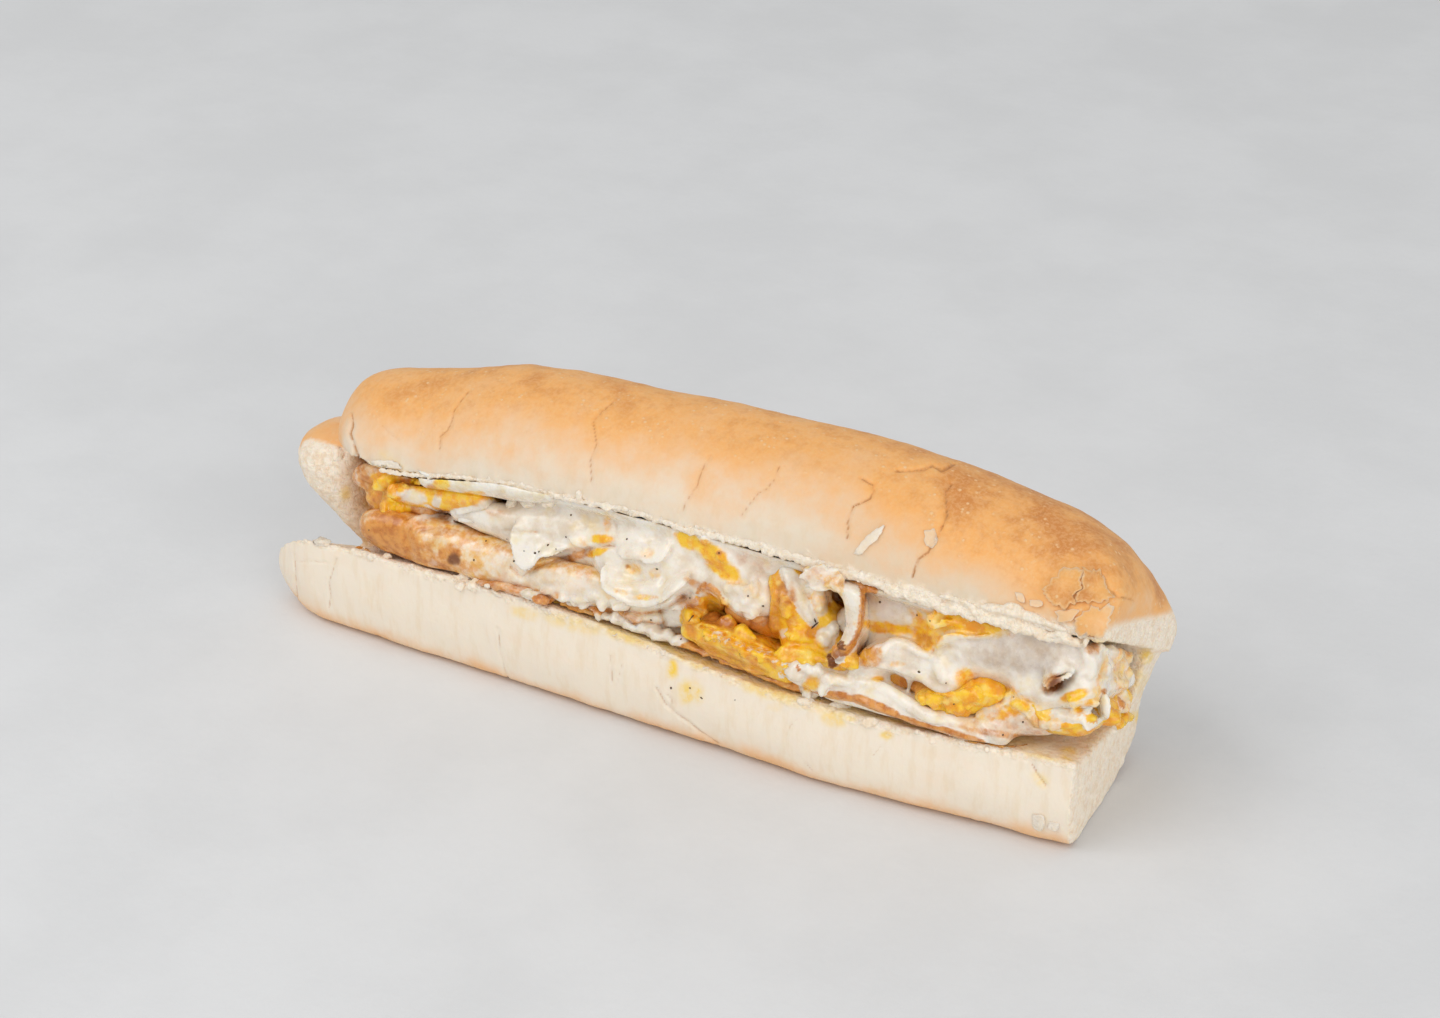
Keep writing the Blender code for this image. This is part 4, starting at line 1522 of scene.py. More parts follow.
@dataclass(frozen=True)
class Fold:
    """One fold of egg, which runs from its front edge back to the uncut bread.

    Its front edge lies so far behind the lips, along rows of x, height above the lower
    lip and half thickness.
    """

    name: str
    front: float
    rows: tuple[Triple, ...]

    step = 0.45
    arc_sides = 40
    flank_sides = 10
    flank_reach = 6.0
    back_sides = 3
    end_reach = 0.85

    def line(self) -> tuple[Array, Array, Array, Array]:
        """Places along the fold.

        Returns:
            The x and height a place, its half thickness, the way along, and the share of
            it that is left towards a rounded end.
        """
        rows = np.array(self.rows, float)
        knots = np.arange(len(rows), dtype=float)
        path = curve(knots, rows, np.linspace(0, knots[-1], 200))
        first, last = path[0].copy(), path[-1].copy()
        first[:2] -= unit(path[1, :2] - path[0, :2]) * path[0, 2] * self.end_reach
        last[:2] += unit(path[-1, :2] - path[-2, :2]) * path[-1, 2] * self.end_reach
        path = np.concatenate(([first], path, [last]))
        length = lengths_along(path[:, :2])
        at = np.linspace(0, length[-1], max(12, round(length[-1] / self.step)))
        place = np.stack([np.interp(at, length, path[:, axis]) for axis in range(3)], axis=1)
        way = unit(np.gradient(place[:, :2], axis=0))
        near_end = np.minimum(at / place[0, 2], (at[-1] - at) / place[-1, 2])
        left = np.sqrt(np.clip(1 - (1 - np.clip(near_end, 0, 1)) ** 2, 0.01, 1))
        return place[:, :2], place[:, 2], way, left

    def build(self, shape: RollShape) -> Piece:
        """The fold's mesh.

        Args:
            shape: the roll that it lies in.

        Returns:
            The piece, not yet sculpted.
        """
        place, half, way, left = self.line()
        angles = np.radians(np.linspace(-90, 90, self.arc_sides + 1))
        near = np.linspace(0, self.flank_reach, self.flank_sides + 1)[1:]
        rings = []
        for spot, full, along_way, share in zip(place, half, way, left):
            size = full * share
            across = np.array((-along_way[1], along_way[0]))
            nose = self.front + full * (1 - share)
            rim = [(size * math.sin(a), nose + size * (1 - math.cos(a))) for a in angles]
            end = float(shape.cavity_depth(np.array([spot[0]]))[0])
            flank = [min(nose + size + reach, end) for reach in near]
            flank += list(np.linspace(flank[-1], end, self.back_sides + 1)[1:])
            ring = [(-size, depth) for depth in reversed(flank)] + rim + [(size, depth) for depth in flank]
            ring = np.array(ring)
            flat = spot + ring[:, :1] * across
            rings.append(shape.in_mouth(flat[:, 0], flat[:, 1], ring[:, 1]))
        return new_piece("fold", *tube(np.array(rings)))


@dataclass(frozen=True)
class Mass:
    """Folds that show as one piece, melted into each other."""

    name: str
    slot: Slot
    folds: tuple[Fold, ...]
    voxel: float = 0.42
    melt: float = 0.9
    lumpy: float = 0.45
    rough: float = 0.05
    brown: float = 0.0
    yolk: float = 0.0

    def build(self, shape: RollShape, sight: Sight, seed: int) -> Piece:
        """The folds, lumpy and run together.

        Args:
            shape: the roll that they lie in.
            sight: where they are seen from.
            seed: for their own lumps.

        Returns:
            The piece, without its smallest shapes.
        """
        objects = []
        for number, fold in enumerate(self.folds):
            obj = fold.build(shape)
            skin = Skin(obj, sight)
            size = min(1.0, max(row[2] for row in fold.rows) / 4)
            swell = self.lumpy * size * Grain(7.5, 2, 31 + 7 * seed + number).at(skin.co)
            wrinkle = np.abs(Grain(5.0, 1, 61 + seed, (2.2, 1, 1)).at(skin.co))
            skin.push(swell - self.lumpy * size * 0.5 * wrinkle)
            objects.append(obj)
        obj = objects[0]
        if len(objects) > 1:
            join(obj, objects[1:])
            even_out(obj, self.voxel * 1.4, 2)
            Skin(obj, sight).push(np.full(len(obj.data.vertices), self.melt))
            even_out(obj, self.voxel * 1.4, 2)
            Skin(obj, sight).push(np.full(len(obj.data.vertices), -self.melt))
            soften(obj, 6)
            apply_modifiers(obj)
        obj.name = "egg_" + self.name
        return obj


MASSES = (
    Mass("whites_left", Slot.WHITE, (
        Fold("white_sheet", 3.0, ((-53, 17.0, 2.4), (-41, 16.8, 5.4), (-28, 17.6, 8.2), (-15, 19, 9.4),
            (-8, 21, 7.6))),
        Fold("curd_mass", -0.5, ((-12.5, 15.6, 6.4), (-7, 17.4, 10.0), (0, 19.2, 10.4), (6.5, 20.2, 7.6))),
        Fold("lower_curds", 2.0, ((-25, 3.4, 2.2), (-15, 4.6, 4.0), (-5, 6.4, 5.4), (7, 10, 4.4))),
        Fold("white_veil", 2.5, ((12, 29.2, 1.6), (18, 28.4, 3.0), (27, 28.4, 2.8))),
        Fold("crumbly_tip", 0.5, ((14.0, 19.6, 3.8), (19.3, 19.1, 6.2), (24.0, 19.4, 4.4))),
        Fold("yolk_band", 1.0, ((2.5, 27.6, 1.8), (8, 27, 3.2), (14.5, 26, 3.4), (21, 24.5, 2.4))),
        Fold("", 0.4, ((-38, 27.6, 2.2), (-26, 28.4, 2.6), (-14, 29.2, 2.6), (-3, 29.9, 2.6),
            (10, 30.8, 2.6), (24, 31.6, 2.6), (36, 32.0, 2.4))),
    )),
    Mass("whites_right", Slot.WHITE, (
        Fold("lower_sheet", -1.5, ((33.5, 6.0, 2.3), (39.5, 6.0, 3.8), (48, 5.5, 3.8), (60, 4.2, 3.2),
            (71, 3.4, 2.6), (82, 2.9, 1.8))),
        Fold("white_ribbons", 0.0, ((48.5, 11.5, 2.6), (54, 15.2, 4.0), (61.5, 14.9, 4.6),
            (69, 13.2, 4.0))),
        Fold("big_white_fold", 0.5, ((66.5, 21.8, 5.8), (72, 21.0, 8.6), (80, 21.6, 8.6), (87, 22.6, 6.8),
            (92, 23.0, 4.8))),
        Fold("end_swirl", 0.0, ((84.5, 14.2, 3.6), (90.5, 15.8, 5.6), (95.5, 17.4, 6.2))),
        Fold("back_white", 4.5, ((44, 20, 4.5), (50, 23.6, 5.6), (55, 24.8, 6.2), (66, 25.4, 5.8),
            (79, 26.6, 2.2))),
        Fold("beige_egg", 1.5, ((77.5, 6.8, 4.2), (84, 7.4, 5.4), (89, 8.0, 5.0))),
        Fold("end_white", 2.0, ((90.5, 26.0, 2.6), (93.5, 25.4, 3.2), (96.5, 25.2, 3.2))),
        Fold("", 1.0, ((42, 31.8, 2.2), (56, 30.7, 2.4), (70, 29.2, 2.4), (84, 28.8, 2.4),
            (93, 29.2, 2.2))),
    )),
    Mass("white_strip", Slot.WHITE, (
        Fold("white_strip", -1.0, ((-59, 23.0, 2.0), (-46, 25.2, 2.6), (-33, 26.8, 2.5), (-27, 27.6, 1.8))),
    ), lumpy=0.2),
    Mass("omelette_slab", Slot.YOLK, (
        Fold("omelette_slab", -1.0, ((8, 6.8, 2.7), (15.5, 7.2, 4.0), (25, 6.4, 3.5), (34, 5.6, 2.0))),
    ), lumpy=0.9, rough=0.15, yolk=0.95),
    Mass("soaked_bits", Slot.BROWNED, (
        Fold("", 2.2, ((-24, 0.8, 1.4), (-5, 1.2, 1.8), (15, 1.3, 1.9), (34, 1.2, 1.8), (46, 0.6, 1.2))),
    ), voxel=0.55, lumpy=0.9, rough=0.4, brown=0.7, yolk=0.75),
    Mass("yolk_cone", Slot.YOLK, (
        Fold("yolk_cone", 1.6, ((29.0, 27.5, 4.2), (31.5, 22, 7.0), (34.7, 17, 8.8), (38, 12.6, 6.4))),
        Fold("", 1.4, ((33, 11.5, 4.0), (39, 10.0, 4.8), (45, 9.6, 4.0), (49, 10.2, 2.8))),
        Fold("", 4.5, ((16, 13.5, 3.8), (23, 14.0, 4.8), (30, 15.0, 4.6))),
    ), lumpy=1.3, rough=0.14, yolk=0.95),
    Mass("yolk_pocket", Slot.YOLK, (
        Fold("yolk_pocket", 2.0, ((-68.5, 17.0, 2.2), (-58.5, 18.8, 3.3), (-46, 20.6, 2.6))),
    ), lumpy=0.6, yolk=0.9),
    Mass("yellow_crumble", Slot.YOLK, (
        Fold("yellow_crumble", 0.0, ((63.5, 7.4, 2.2), (70, 8.8, 4.0), (77.5, 12, 3.8))),
        Fold("", 4.0, ((50, 9.6, 3.0), (58, 10.0, 3.6), (66, 9.6, 3.4))),
    ), lumpy=0.9, rough=0.3, yolk=0.95),
    Mass("end_yolk", Slot.YOLK, (
        Fold("end_yolk", 1.5, ((88, 8.2, 3.2), (93, 8.8, 4.2), (96, 9.2, 4.4))),
    ), lumpy=0.8, yolk=0.85),
    Mass("browned_fold", Slot.BROWNED, (
        Fold("browned_fold", -0.3, ((-74.5, 6.4, 5.4), (-67, 6.0, 7.2), (-56.5, 5.6, 7.8),
            (-44.5, 5.3, 7.5), (-30, 5.9, 6.7), (-18, 7.6, 5.4), (-9, 9.0, 4.4))),
    ), lumpy=0.4, brown=0.34, yolk=0.5),
    Mass("curled_strip", Slot.BROWNED, (
        Fold("curled_strip", -2.5, ((38, 28.6, 1.3), (43, 29.2, 1.4), (46.2, 26.5, 1.5), (47.4, 20.5, 1.6),
            (45.6, 13.5, 2.2))),
    ), lumpy=0.3, brown=0.12, yolk=0.25),
    Mass("brown_bits", Slot.BROWNED, (
        Fold("brown_bits", -1.2, ((-45, 0.6, 1.0), (-37, 1.4, 1.6), (-27, 1.6, 1.5))),
    ), lumpy=0.5, rough=0.4, brown=0.7),
    Mass("torn_brown", Slot.BROWNED, (
        Fold("torn_brown", 5.0, ((-76.5, 13.0, 2.6), (-70, 13.4, 3.4), (-62.5, 14.4, 2.6))),
        Fold("", 4.0, ((-81, 18.0, 3.0), (-75, 20.8, 4.2), (-66, 22.4, 3.2))),
    ), lumpy=0.7, rough=0.3, brown=0.6, yolk=0.4),
)

CREASES = (
    *lines("",
        (3, -0.6, 506, 530, 520, 531, 537, 532), (5, -0.9, 617, 584, 635, 582, 652, 580),
        (8, -1.6, 628, 566, 634, 569, 640, 573),
    ),
    *lines("omelette_slab",
        (4, -1.6, 702, 627, 722, 634, 748, 645, 772, 654),
        (7, -2.4, 688, 644, 712, 652, 740, 664, 765, 674),
    ),
    *lines("whites_left",
        (6, -2.2, 556, 590, 564, 593, 574, 592), (6, -2, 586, 604, 596, 606, 612, 614, 640, 628),
        (5, -1.8, 600, 600, 615, 608, 640, 614, 662, 611, 690, 593),
    ),
    *lines("", (4, -1.2, 511, 567, 521, 577, 537, 567, 552, 562, 568, 556)),
    *lines("whites_left",
        (4, -1, 556, 553, 580, 551, 600, 546, 614, 546), (5, -1.6, 660, 612, 664, 622, 658, 632),
        (5, -1.6, 683, 596, 688, 605, 702, 610),
    ),
    *lines("",
        (9, -3.5, 1050, 690, 1058, 686, 1067, 678), (7, -2.5, 1052, 682, 1060, 680),
        (12, -0.5, 1000, 640, 1004, 655, 1000, 672), (5, -0.6, 936, 650, 948, 646, 962, 652, 968, 665),
        (6, -0.7, 862, 640, 864, 652, 862, 664), (6, -0.8, 985, 700, 1000, 703, 1016, 698, 1032, 700),
        (5, -0.9, 975, 722, 983, 733, 990, 742), (9, -1.6, 830, 605, 840, 612, 844, 625),
    ),
    *lines("browned_fold",
        (6, -0.5, 560, 585, 520, 587, 480, 583, 440, 570), (4, -0.4, 413, 535, 420, 530, 432, 529),
        (6, -0.8, 410, 520, 405, 534, 411, 548, 410, 562),
    ),
)

# Patches of colour on the egg, by pixels. Many brown and dark patches are painted shade: shadow lines under
# flaps and curds, tan shade under the upper lip, dark cavities and slots, and the shaded big fold; the rest
# are real yolk, browning and charring.
PATCHES = (
    *patches(Tint.YOLK, "white_strip", (441, 485, 10, 8), (474, 494, 11, 3.5, 0, 0.7)),
    *patches(Tint.BROWN, "white_strip", (431, 488, 6, 4, 30, 0.8)),
    *patches(Tint.WHITE, "yolk_pocket", (411, 497, 14, 7, 10, 0.9)),
    *patches(Tint.BROWN, "yolk_pocket", (476, 503, 6, 3, 0, 0.5)),
    *patches(Tint.WHITE, "yolk_pocket", (490, 505, 9, 6, 0, 0.8)),
    # painted shade: tan under the upper lip, and shadow in the creases under the frill and the curds
    *patches(Tint.BROWN, "whites_left",
        (496, 512, 14, 5, 0, 0.35), (620, 507, 42, 7, 12, 0.35), (755, 560, 26, 12, 20, 0.28),
        (700, 587, 16, 4, 30, 0.6), (690, 603, 12, 6, 0, 0.45), (640, 625, 34, 10, 18, 0.5),
        (606, 606, 26, 8, 12, 0.4), (610, 612, 40, 7, 20, 0.7), (690, 603, 14, 6, 20, 0.5),
    ),
    *patches(Tint.YOLK, "",
        (602, 539, 11, 5), (597, 552, 10, 4, -20), (580, 543, 12, 6, -20, 0.35),
        (607, 522, 4, 11, 0, 0.45), (634, 569, 7, 5, 0, 0.55), (647, 553, 7, 5, 0, 0.35),
        (645, 597, 12, 3, 0, 0.6), (621, 592, 8, 3, 20, 0.5), (655, 573, 6, 5, 0, 0.4),
        (732, 575, 9, 8, 30, 0.9), (750, 592, 6, 8, 0, 0.3),
    ),
    *patches(Tint.BROWN, "", (575, 557, 16, 4, -18, 0.7), (719, 553, 3, 2.4, 0, 0.9)),
    *patches(Tint.YOLK, "whites_left",
        (710, 553, 22, 9, 35), (688, 540, 12, 9, 30), (722, 569, 20, 7, 32), (716, 604, 14, 9, 20, 0.9),
        (680, 632, 5, 5, 0, 0.8),
    ),
    # real browning on the slab's top, and painted shade in its groove and along its underside
    *patches(Tint.BROWN, "omelette_slab",
        (717, 620, 16, 7, 20, 0.9), (745, 636, 22, 3, 24, 0.5), (725, 654, 44, 4, 22, 0.4),
        (697, 615, 9, 4, 0, 0.5), (735, 664, 44, 6, 24, 0.5), (692, 626, 7, 9, 0, 0.45),
    ),
    *patches(Tint.WHITE, "yolk_cone", (800, 600, 5, 26, -22, 0.8)),
    # painted shade: darker amber down the cone's left side and the dark cavity left of it
    *patches(Tint.BROWN, "yolk_cone",
        (790, 596, 6, 12, 8, 0.6), (858, 664, 14, 6, 10, 0.4), (781, 600, 7, 22, 8, 0.55),
        (774, 630, 6, 24, 8, 0.5), (765, 655, 9, 8, 0, 0.5), (745, 616, 34, 18, 20, 0.8),
    ),
    *patches(Tint.YOLK, "torn_brown", (386, 494, 24, 24)),
    *patches(Tint.BROWN, "torn_brown", (381, 500, 6, 12, 20, 0.5)),
    *patches(Tint.YOLK, "yolk_pocket", (452, 492, 26, 8, 6)),
    *patches(Tint.YOLK, "browned_fold", (386, 540, 30, 30), (520, 582, 80, 10, 10, 0.25)),
    *patches(Tint.YOLK, "yolk_cone", (795, 655, 36, 18, 10)),
    *patches(Tint.CHAR, "curled_strip", (838, 655, 7, 8, 0, 0.5)),
    # partly painted shade, under the upper lip, in the slot by the curled end and by the bits at the right;
    # partly real browning, such as the small orange spot
    *patches(Tint.BROWN, "",
        (830, 578, 30, 9, 15, 0.35), (925, 640, 9, 7, 0, 0.5), (985, 614, 30, 5, 10, 0.4),
        (866, 657, 16, 11, 10, 0.55), (1052, 683, 11, 8, -40, 0.7), (1093, 648, 8, 7, 0, 0.6),
        (1104, 691, 3, 3, 0, 0.9), (1010, 736, 60, 4, 10, 0.6),
    ),
    *patches(Tint.YOLK, "",
        (888, 628, 30, 6, 10, 0.95), (928, 634, 10, 14, -10, 0.9), (964, 623, 46, 12, 8),
        (926, 634, 15, 16, -10, 0.9), (866, 655, 14, 10, 10, 0.6), (965, 678, 11, 10, 0, 0.85),
        (1006, 692, 11, 6, 0, 0.7), (1017, 708, 13, 8, 0, 0.85), (1003, 715, 8, 6, 0, 0.75),
        (1074, 696, 17, 5, -18, 0.9), (1078, 710, 6, 4, 0, 0.8), (1089, 703, 5, 4, 0, 0.7),
        (1097, 690, 6, 7, 0, 0.5), (811, 684, 7, 9, 50, 0.9), (877, 679, 7, 3, 0, 0.8),
        (897, 664, 8, 3, 0, 0.5),
    ),
    *patches(Tint.BROWN, "whites_right",
        (1022, 727, 40, 12, 5, 0.35), (975, 728, 16, 8, 20, 0.35), (872, 705, 26, 4, 25, 0.9),
        (920, 724, 40, 3, 18, 0.8),
    ),
    # painted shade in the dark slot inside the curled end
    *patches(Tint.CHAR, "", (1056, 685, 9, 6, -40, 0.9)),
    *patches(Tint.YOLK, "whites_right", (1120, 676, 8, 26, 0, 0.45)),
    *patches(Tint.BROWN, "browned_fold",
        (382, 545, 42, 40), (440, 532, 40, 6, 4, 0.6), (430, 560, 46, 9, 12, 0.7),
        (566, 565, 26, 12, 0, 0.35),
    ),
    # painted shade in the hole under the crumble
    *patches(Tint.BROWN, "yellow_crumble", (900, 680, 30, 12, 12, 0.75)),
    # painted shade: the big fold under the upper lip turned brownish grey, and the gap under the lip further
    # left
    *patches(Tint.CHAR, "whites_right", (1018, 652, 56, 26, 4, 0.33), (885, 610, 34, 14, 8, 0.22)),
    *patches(Tint.CHAR, "browned_fold", (371, 541, 5, 14, -20, 0.25)),
    *patches(Tint.WHITE, "browned_fold", (470, 548, 40, 8, 14, 0.2)),
    *patches(Tint.BROWN, "browned_fold",
        (420, 530, 9, 4, -10, 0.8), (483, 531, 11, 6, 0, 0.7), (500, 527, 8, 5, 20, 0.8),
        (440, 574, 44, 5, 14, 0.8), (520, 590, 60, 4, 6, 0.7), (450, 554, 12, 10, 20, 0.9),
        (412, 545, 6, 16, 0, 0.6),
    ),
    *patches(Tint.CHAR, "browned_fold", (454, 560, 7, 6, 20, 0.8)),
    *patches(Tint.WHITE, "browned_fold", (568, 586, 56, 14, 10, 0.62), (508, 570, 26, 14, 14, 0.45)),
)

FLAPS = (
    Flap(((520, 515), (535, 530), (550, 540), (572, 545)), ((506, 530), (505, 541), (509, 549), (513, 563),
        (521, 572), (530, 572), (537, 560), (551, 558), (568, 552)), lift=0.5, thick=0.7),
    Flap(((566, 532), (590, 528), (613, 524)), ((569, 550), (590, 548), (604, 545), (615, 541)), lift=1.0),
    Flap(((606, 562), (612, 572), (618, 580), (635, 586), (652, 586), (668, 580), (690, 570)), ((592, 570),
        (595, 577), (599, 588), (607, 595), (614, 600), (629, 607), (643, 610), (657, 606), (669, 599),
        (681, 592), (696, 584)), lift=3.4, ruffle=0.8),
    Flap(((610, 566), (622, 574), (640, 580), (662, 576)), ((602, 580), (612, 587), (622, 592), (640, 594),
        (662, 590)), lift=1.6, thick=0.7, ruffle=0.5),
    Flap(((616, 545), (640, 545), (668, 538)), ((617, 566), (623, 563), (638, 561), (647, 565), (660, 564),
        (669, 555), (678, 546)), lift=1.4, ruffle=0.4),
    Flap(((700, 600), (712, 606), (722, 612)), ((696, 584), (709, 585), (724, 598), (728, 606)), lift=1.4,
        edge=Tint.BROWN),
    Flap(((938, 612), (950, 622), (965, 628)), ((921, 612), (930, 630), (942, 612)), lift=0.8, thick=0.7),
    Flap(((942, 660), (945, 645), (960, 640), (990, 640)), ((934, 658), (936, 641), (944, 634), (955, 632),
        (970, 635), (1000, 631)), lift=1.0, thick=1.0),
    Flap(((960, 690), (958, 705), (945, 715)), ((918, 695), (930, 693), (950, 692), (982, 687)), lift=1.4,
        tint=Tint.YOLK, ruffle=0.8),
    Flap(((1104, 690), (1098, 705), (1082, 714)), ((1114, 698), (1109, 719), (1101, 722), (1088, 733),
        (1078, 725)), lift=1.6, thick=0.9),
    Flap(((846, 570), (846, 600), (846, 625), (842, 645)), ((861, 578), (863, 600), (861, 626), (845, 656)),
        lift=1.6, thick=0.9, edge=Tint.BROWN),
    Flap(((1046, 668), (1062, 660), (1074, 664)), ((1036, 689), (1047, 691), (1062, 684), (1080, 676)),
        lift=0.8, thick=0.8),
)

ROPES = (
    *ropes(Tint.WHITE, 0.12,
        (5, 0.8, 427, 506, 438, 510, 449, 512, 460, 513, 481, 507), (3, 0.6, 439, 493, 437, 501, 435, 507),
        (7, 0.6, 404, 534, 406, 527, 412, 521, 424, 517, 437, 516, 455, 518, 478, 523),
        (5, 0.7, 417, 470, 425, 474, 436, 478, 450, 479),
    ),
    *ropes(Tint.YOLK, 0.12, (6, 0.8, 409, 477, 415, 481, 423, 484)),
    *ropes(Tint.BROWN, 0.12, (5, 0.6, 350, 552, 360, 548, 372, 553)),
    *ropes(Tint.WHITE, 0.12, (9, 1.3, 570, 598, 580, 600, 590, 597, 600, 595)),
    *ropes(Tint.WHITE, 0.4, (13, 1.2, 783, 566, 790, 580, 798, 594, 806, 608, 813, 624)),
    *ropes(Tint.YOLK, 0.5, (9, 1.4, 776, 588, 774, 606, 774, 624, 778, 640)),
    *ropes(Tint.YOLK, 0.4, (9, 1.6, 782, 644, 796, 650, 812, 654, 828, 662)),
    *ropes(Tint.CREAM, 0.3, (12, 2.2, 812, 570, 818, 584, 822, 600, 818, 614)),
    *ropes(Tint.CREAM, 0.12, (4, 0.8, 780, 635, 793, 631, 808, 630)),
    *ropes(Tint.WHITE, 0.12,
        (13, 1.6, 800, 668, 815, 672, 826, 677, 838, 680, 852, 684),
        (15, 1.4, 852, 681, 868, 684, 886, 690, 902, 700, 922, 712, 945, 722),
        (10, 1.6, 849, 677, 856, 667, 866, 663, 879, 661),
        (12, 1.8, 879, 661, 884, 650, 893, 643, 906, 645, 919, 652, 935, 659),
        (7, 1.2, 872, 665, 889, 667, 903, 671, 909, 679, 909, 691),
        (9, 1.3, 904, 672, 920, 676, 931, 684, 943, 690, 956, 690),
        (15, 1, 944, 642, 940, 656, 941, 670, 946, 684),
    ),
    *ropes(Tint.BROWN, 0.3,
        (6, 1, 853, 698, 862, 701, 871, 705, 886, 711, 898, 716),
        (3, 0.6, 897, 717, 911, 721, 927, 726, 942, 730, 957, 735, 982, 742),
        (4, 0.6, 806, 690, 822, 694, 840, 696, 852, 699),
    ),
    *ropes(Tint.WHITE, 0.12,
        (9, 1.2, 1057, 635, 1072, 639, 1084, 648, 1087, 660, 1084, 671, 1076, 677),
        (11, 1.2, 1093, 655, 1092, 667, 1089, 680), (7, 1, 1118, 655, 1117, 668, 1113, 682, 1112, 699),
    ),
    *ropes(Tint.CREAM, 0.12, (8, 1, 1106, 655, 1103, 670, 1098, 684)),
    *ropes(Tint.WHITE, 0.12,
        (9, 1.2, 1071, 703, 1080, 697, 1090, 693, 1099, 692),
        (9, 1.3, 1054, 711, 1064, 717, 1078, 718, 1087, 709, 1095, 701),
    ),
    *ropes(Tint.YOLK, 0.12, (6, 1, 1032, 702, 1037, 714, 1051, 721, 1068, 726, 1080, 724)),
    *ropes(Tint.BROWN, 0.3, (4, 0.5, 961, 741, 985, 744, 1010, 747, 1030, 744)),
    *ropes(Tint.BROWN, 0.25, (4, 1.4, 862, 580, 863, 596, 862, 612, 860, 627, 853, 641, 846, 652)),
)

LUMPS = (
    *lumps(Tint.WHITE, 0.25, (797, 671, 12, 11, 1.8)),
    *lumps(Tint.BROWN, 0.25, (798, 668, 2.6, 2.6, 2.6)),
    *lumps(Tint.YOLK, 0.5,
        (800, 634, 13, 9, 2.2), (790, 655, 13, 10, 2.2), (812, 662, 12, 9, 2), (786, 606, 7, 12, 1.6),
    ),
    *lumps(Tint.CREAM, 0.5, (818, 600, 9, 14, 1.8)),
    *lumps(Tint.YOLK, 0.5, (850, 662, 12, 7, 1.8), (868, 655, 8, 7, 1.6)),
    *lumps(Tint.WHITE, 0.15, (824, 640, 8, 9, 1.6)),
    *lumps(Tint.WHITE, 0.25, (834, 630, 5, 7, 1.2, 30), (786, 648, 5, 3, 0.8)),
    *lumps(Tint.WHITE, 0.4, (732, 590, 9, 8, 1.6)),
    *lumps(Tint.WHITE, 0.45, (741, 602, 10, 9, 1.8), (752, 610, 9, 9, 1.6), (760, 617, 7, 6, 1.4)),
    *lumps(Tint.WHITE, 0.3, (753, 590, 6, 11, 1.6, 10)),
    *lumps(Tint.WHITE, 0.5, (727, 600, 6, 5, 1.4)),
    *lumps(Tint.WHITE, 0.25, (602, 602, 6, 10, 1.4), (706, 539, 7, 7, 1.2), (726, 553, 12, 10, 1, 20)),
    *lumps(Tint.WHITE, 0.4, (635, 616, 13, 9, 2.4), (650, 627, 9, 8, 2.2)),
    *lumps(Tint.WHITE, 0.35, (672, 603, 13, 8, 2.2), (690, 601, 9, 6, 2)),
    *lumps(Tint.WHITE, 0.3, (671, 628, 12, 13, 2.6)),
    *lumps(Tint.WHITE, 0.4, (620, 606, 9, 6, 1.8)),
    *lumps(Tint.YOLK, 0.3, (692, 621, 9, 10, 2.2)),
    *lumps(Tint.WHITE, 0.4, (530, 594, 9, 4, 1), (548, 591, 9, 4, 1)),
    *lumps(Tint.BROWN, 0.4, (541, 600, 9, 4, 1), (560, 597, 7, 4, 0.9)),
    *lumps(Tint.YOLK, 0.4, (556, 602, 4, 3, 0.9)),
    *lumps(Tint.BROWN, 0.5, (838, 651, 7, 8, 1.6)),
    *lumps(Tint.CHAR, 0.5, (842, 645, 5, 4, 1.8), (832, 660, 5, 4, 1.4)),
    *lumps(Tint.WHITE, 0.4, (840, 659, 5, 4, 1.4)),
    *lumps(Tint.WHITE, 0.5, (822, 578, 18, 12, 1.2), (808, 585, 9, 10, 1.2), (835, 592, 9, 8, 1)),
    *lumps(Tint.WHITE, 0.25, (1060, 669, 9, 8, 1.4, -25)),
    *lumps(Tint.YOLK, 0.4,
        (935, 703, 9, 7, 1.4), (952, 702, 10, 9, 1.5), (967, 697, 10, 8, 1.5), (977, 692, 6, 5, 1.4),
        (960, 712, 10, 6, 1.2),
    ),
    *lumps(Tint.BROWN, 0.4, (1121, 705, 4, 6, 1)),
    *lumps(Tint.YOLK, 0.2, (1112, 722, 14, 9, 1.6)),
    *lumps(Tint.YOLK, 0.3, (1108, 716, 14, 9, 1.6)),
    *lumps(Tint.CREAM, 0.4, (398, 508, 7, 6, 0.9)),
)

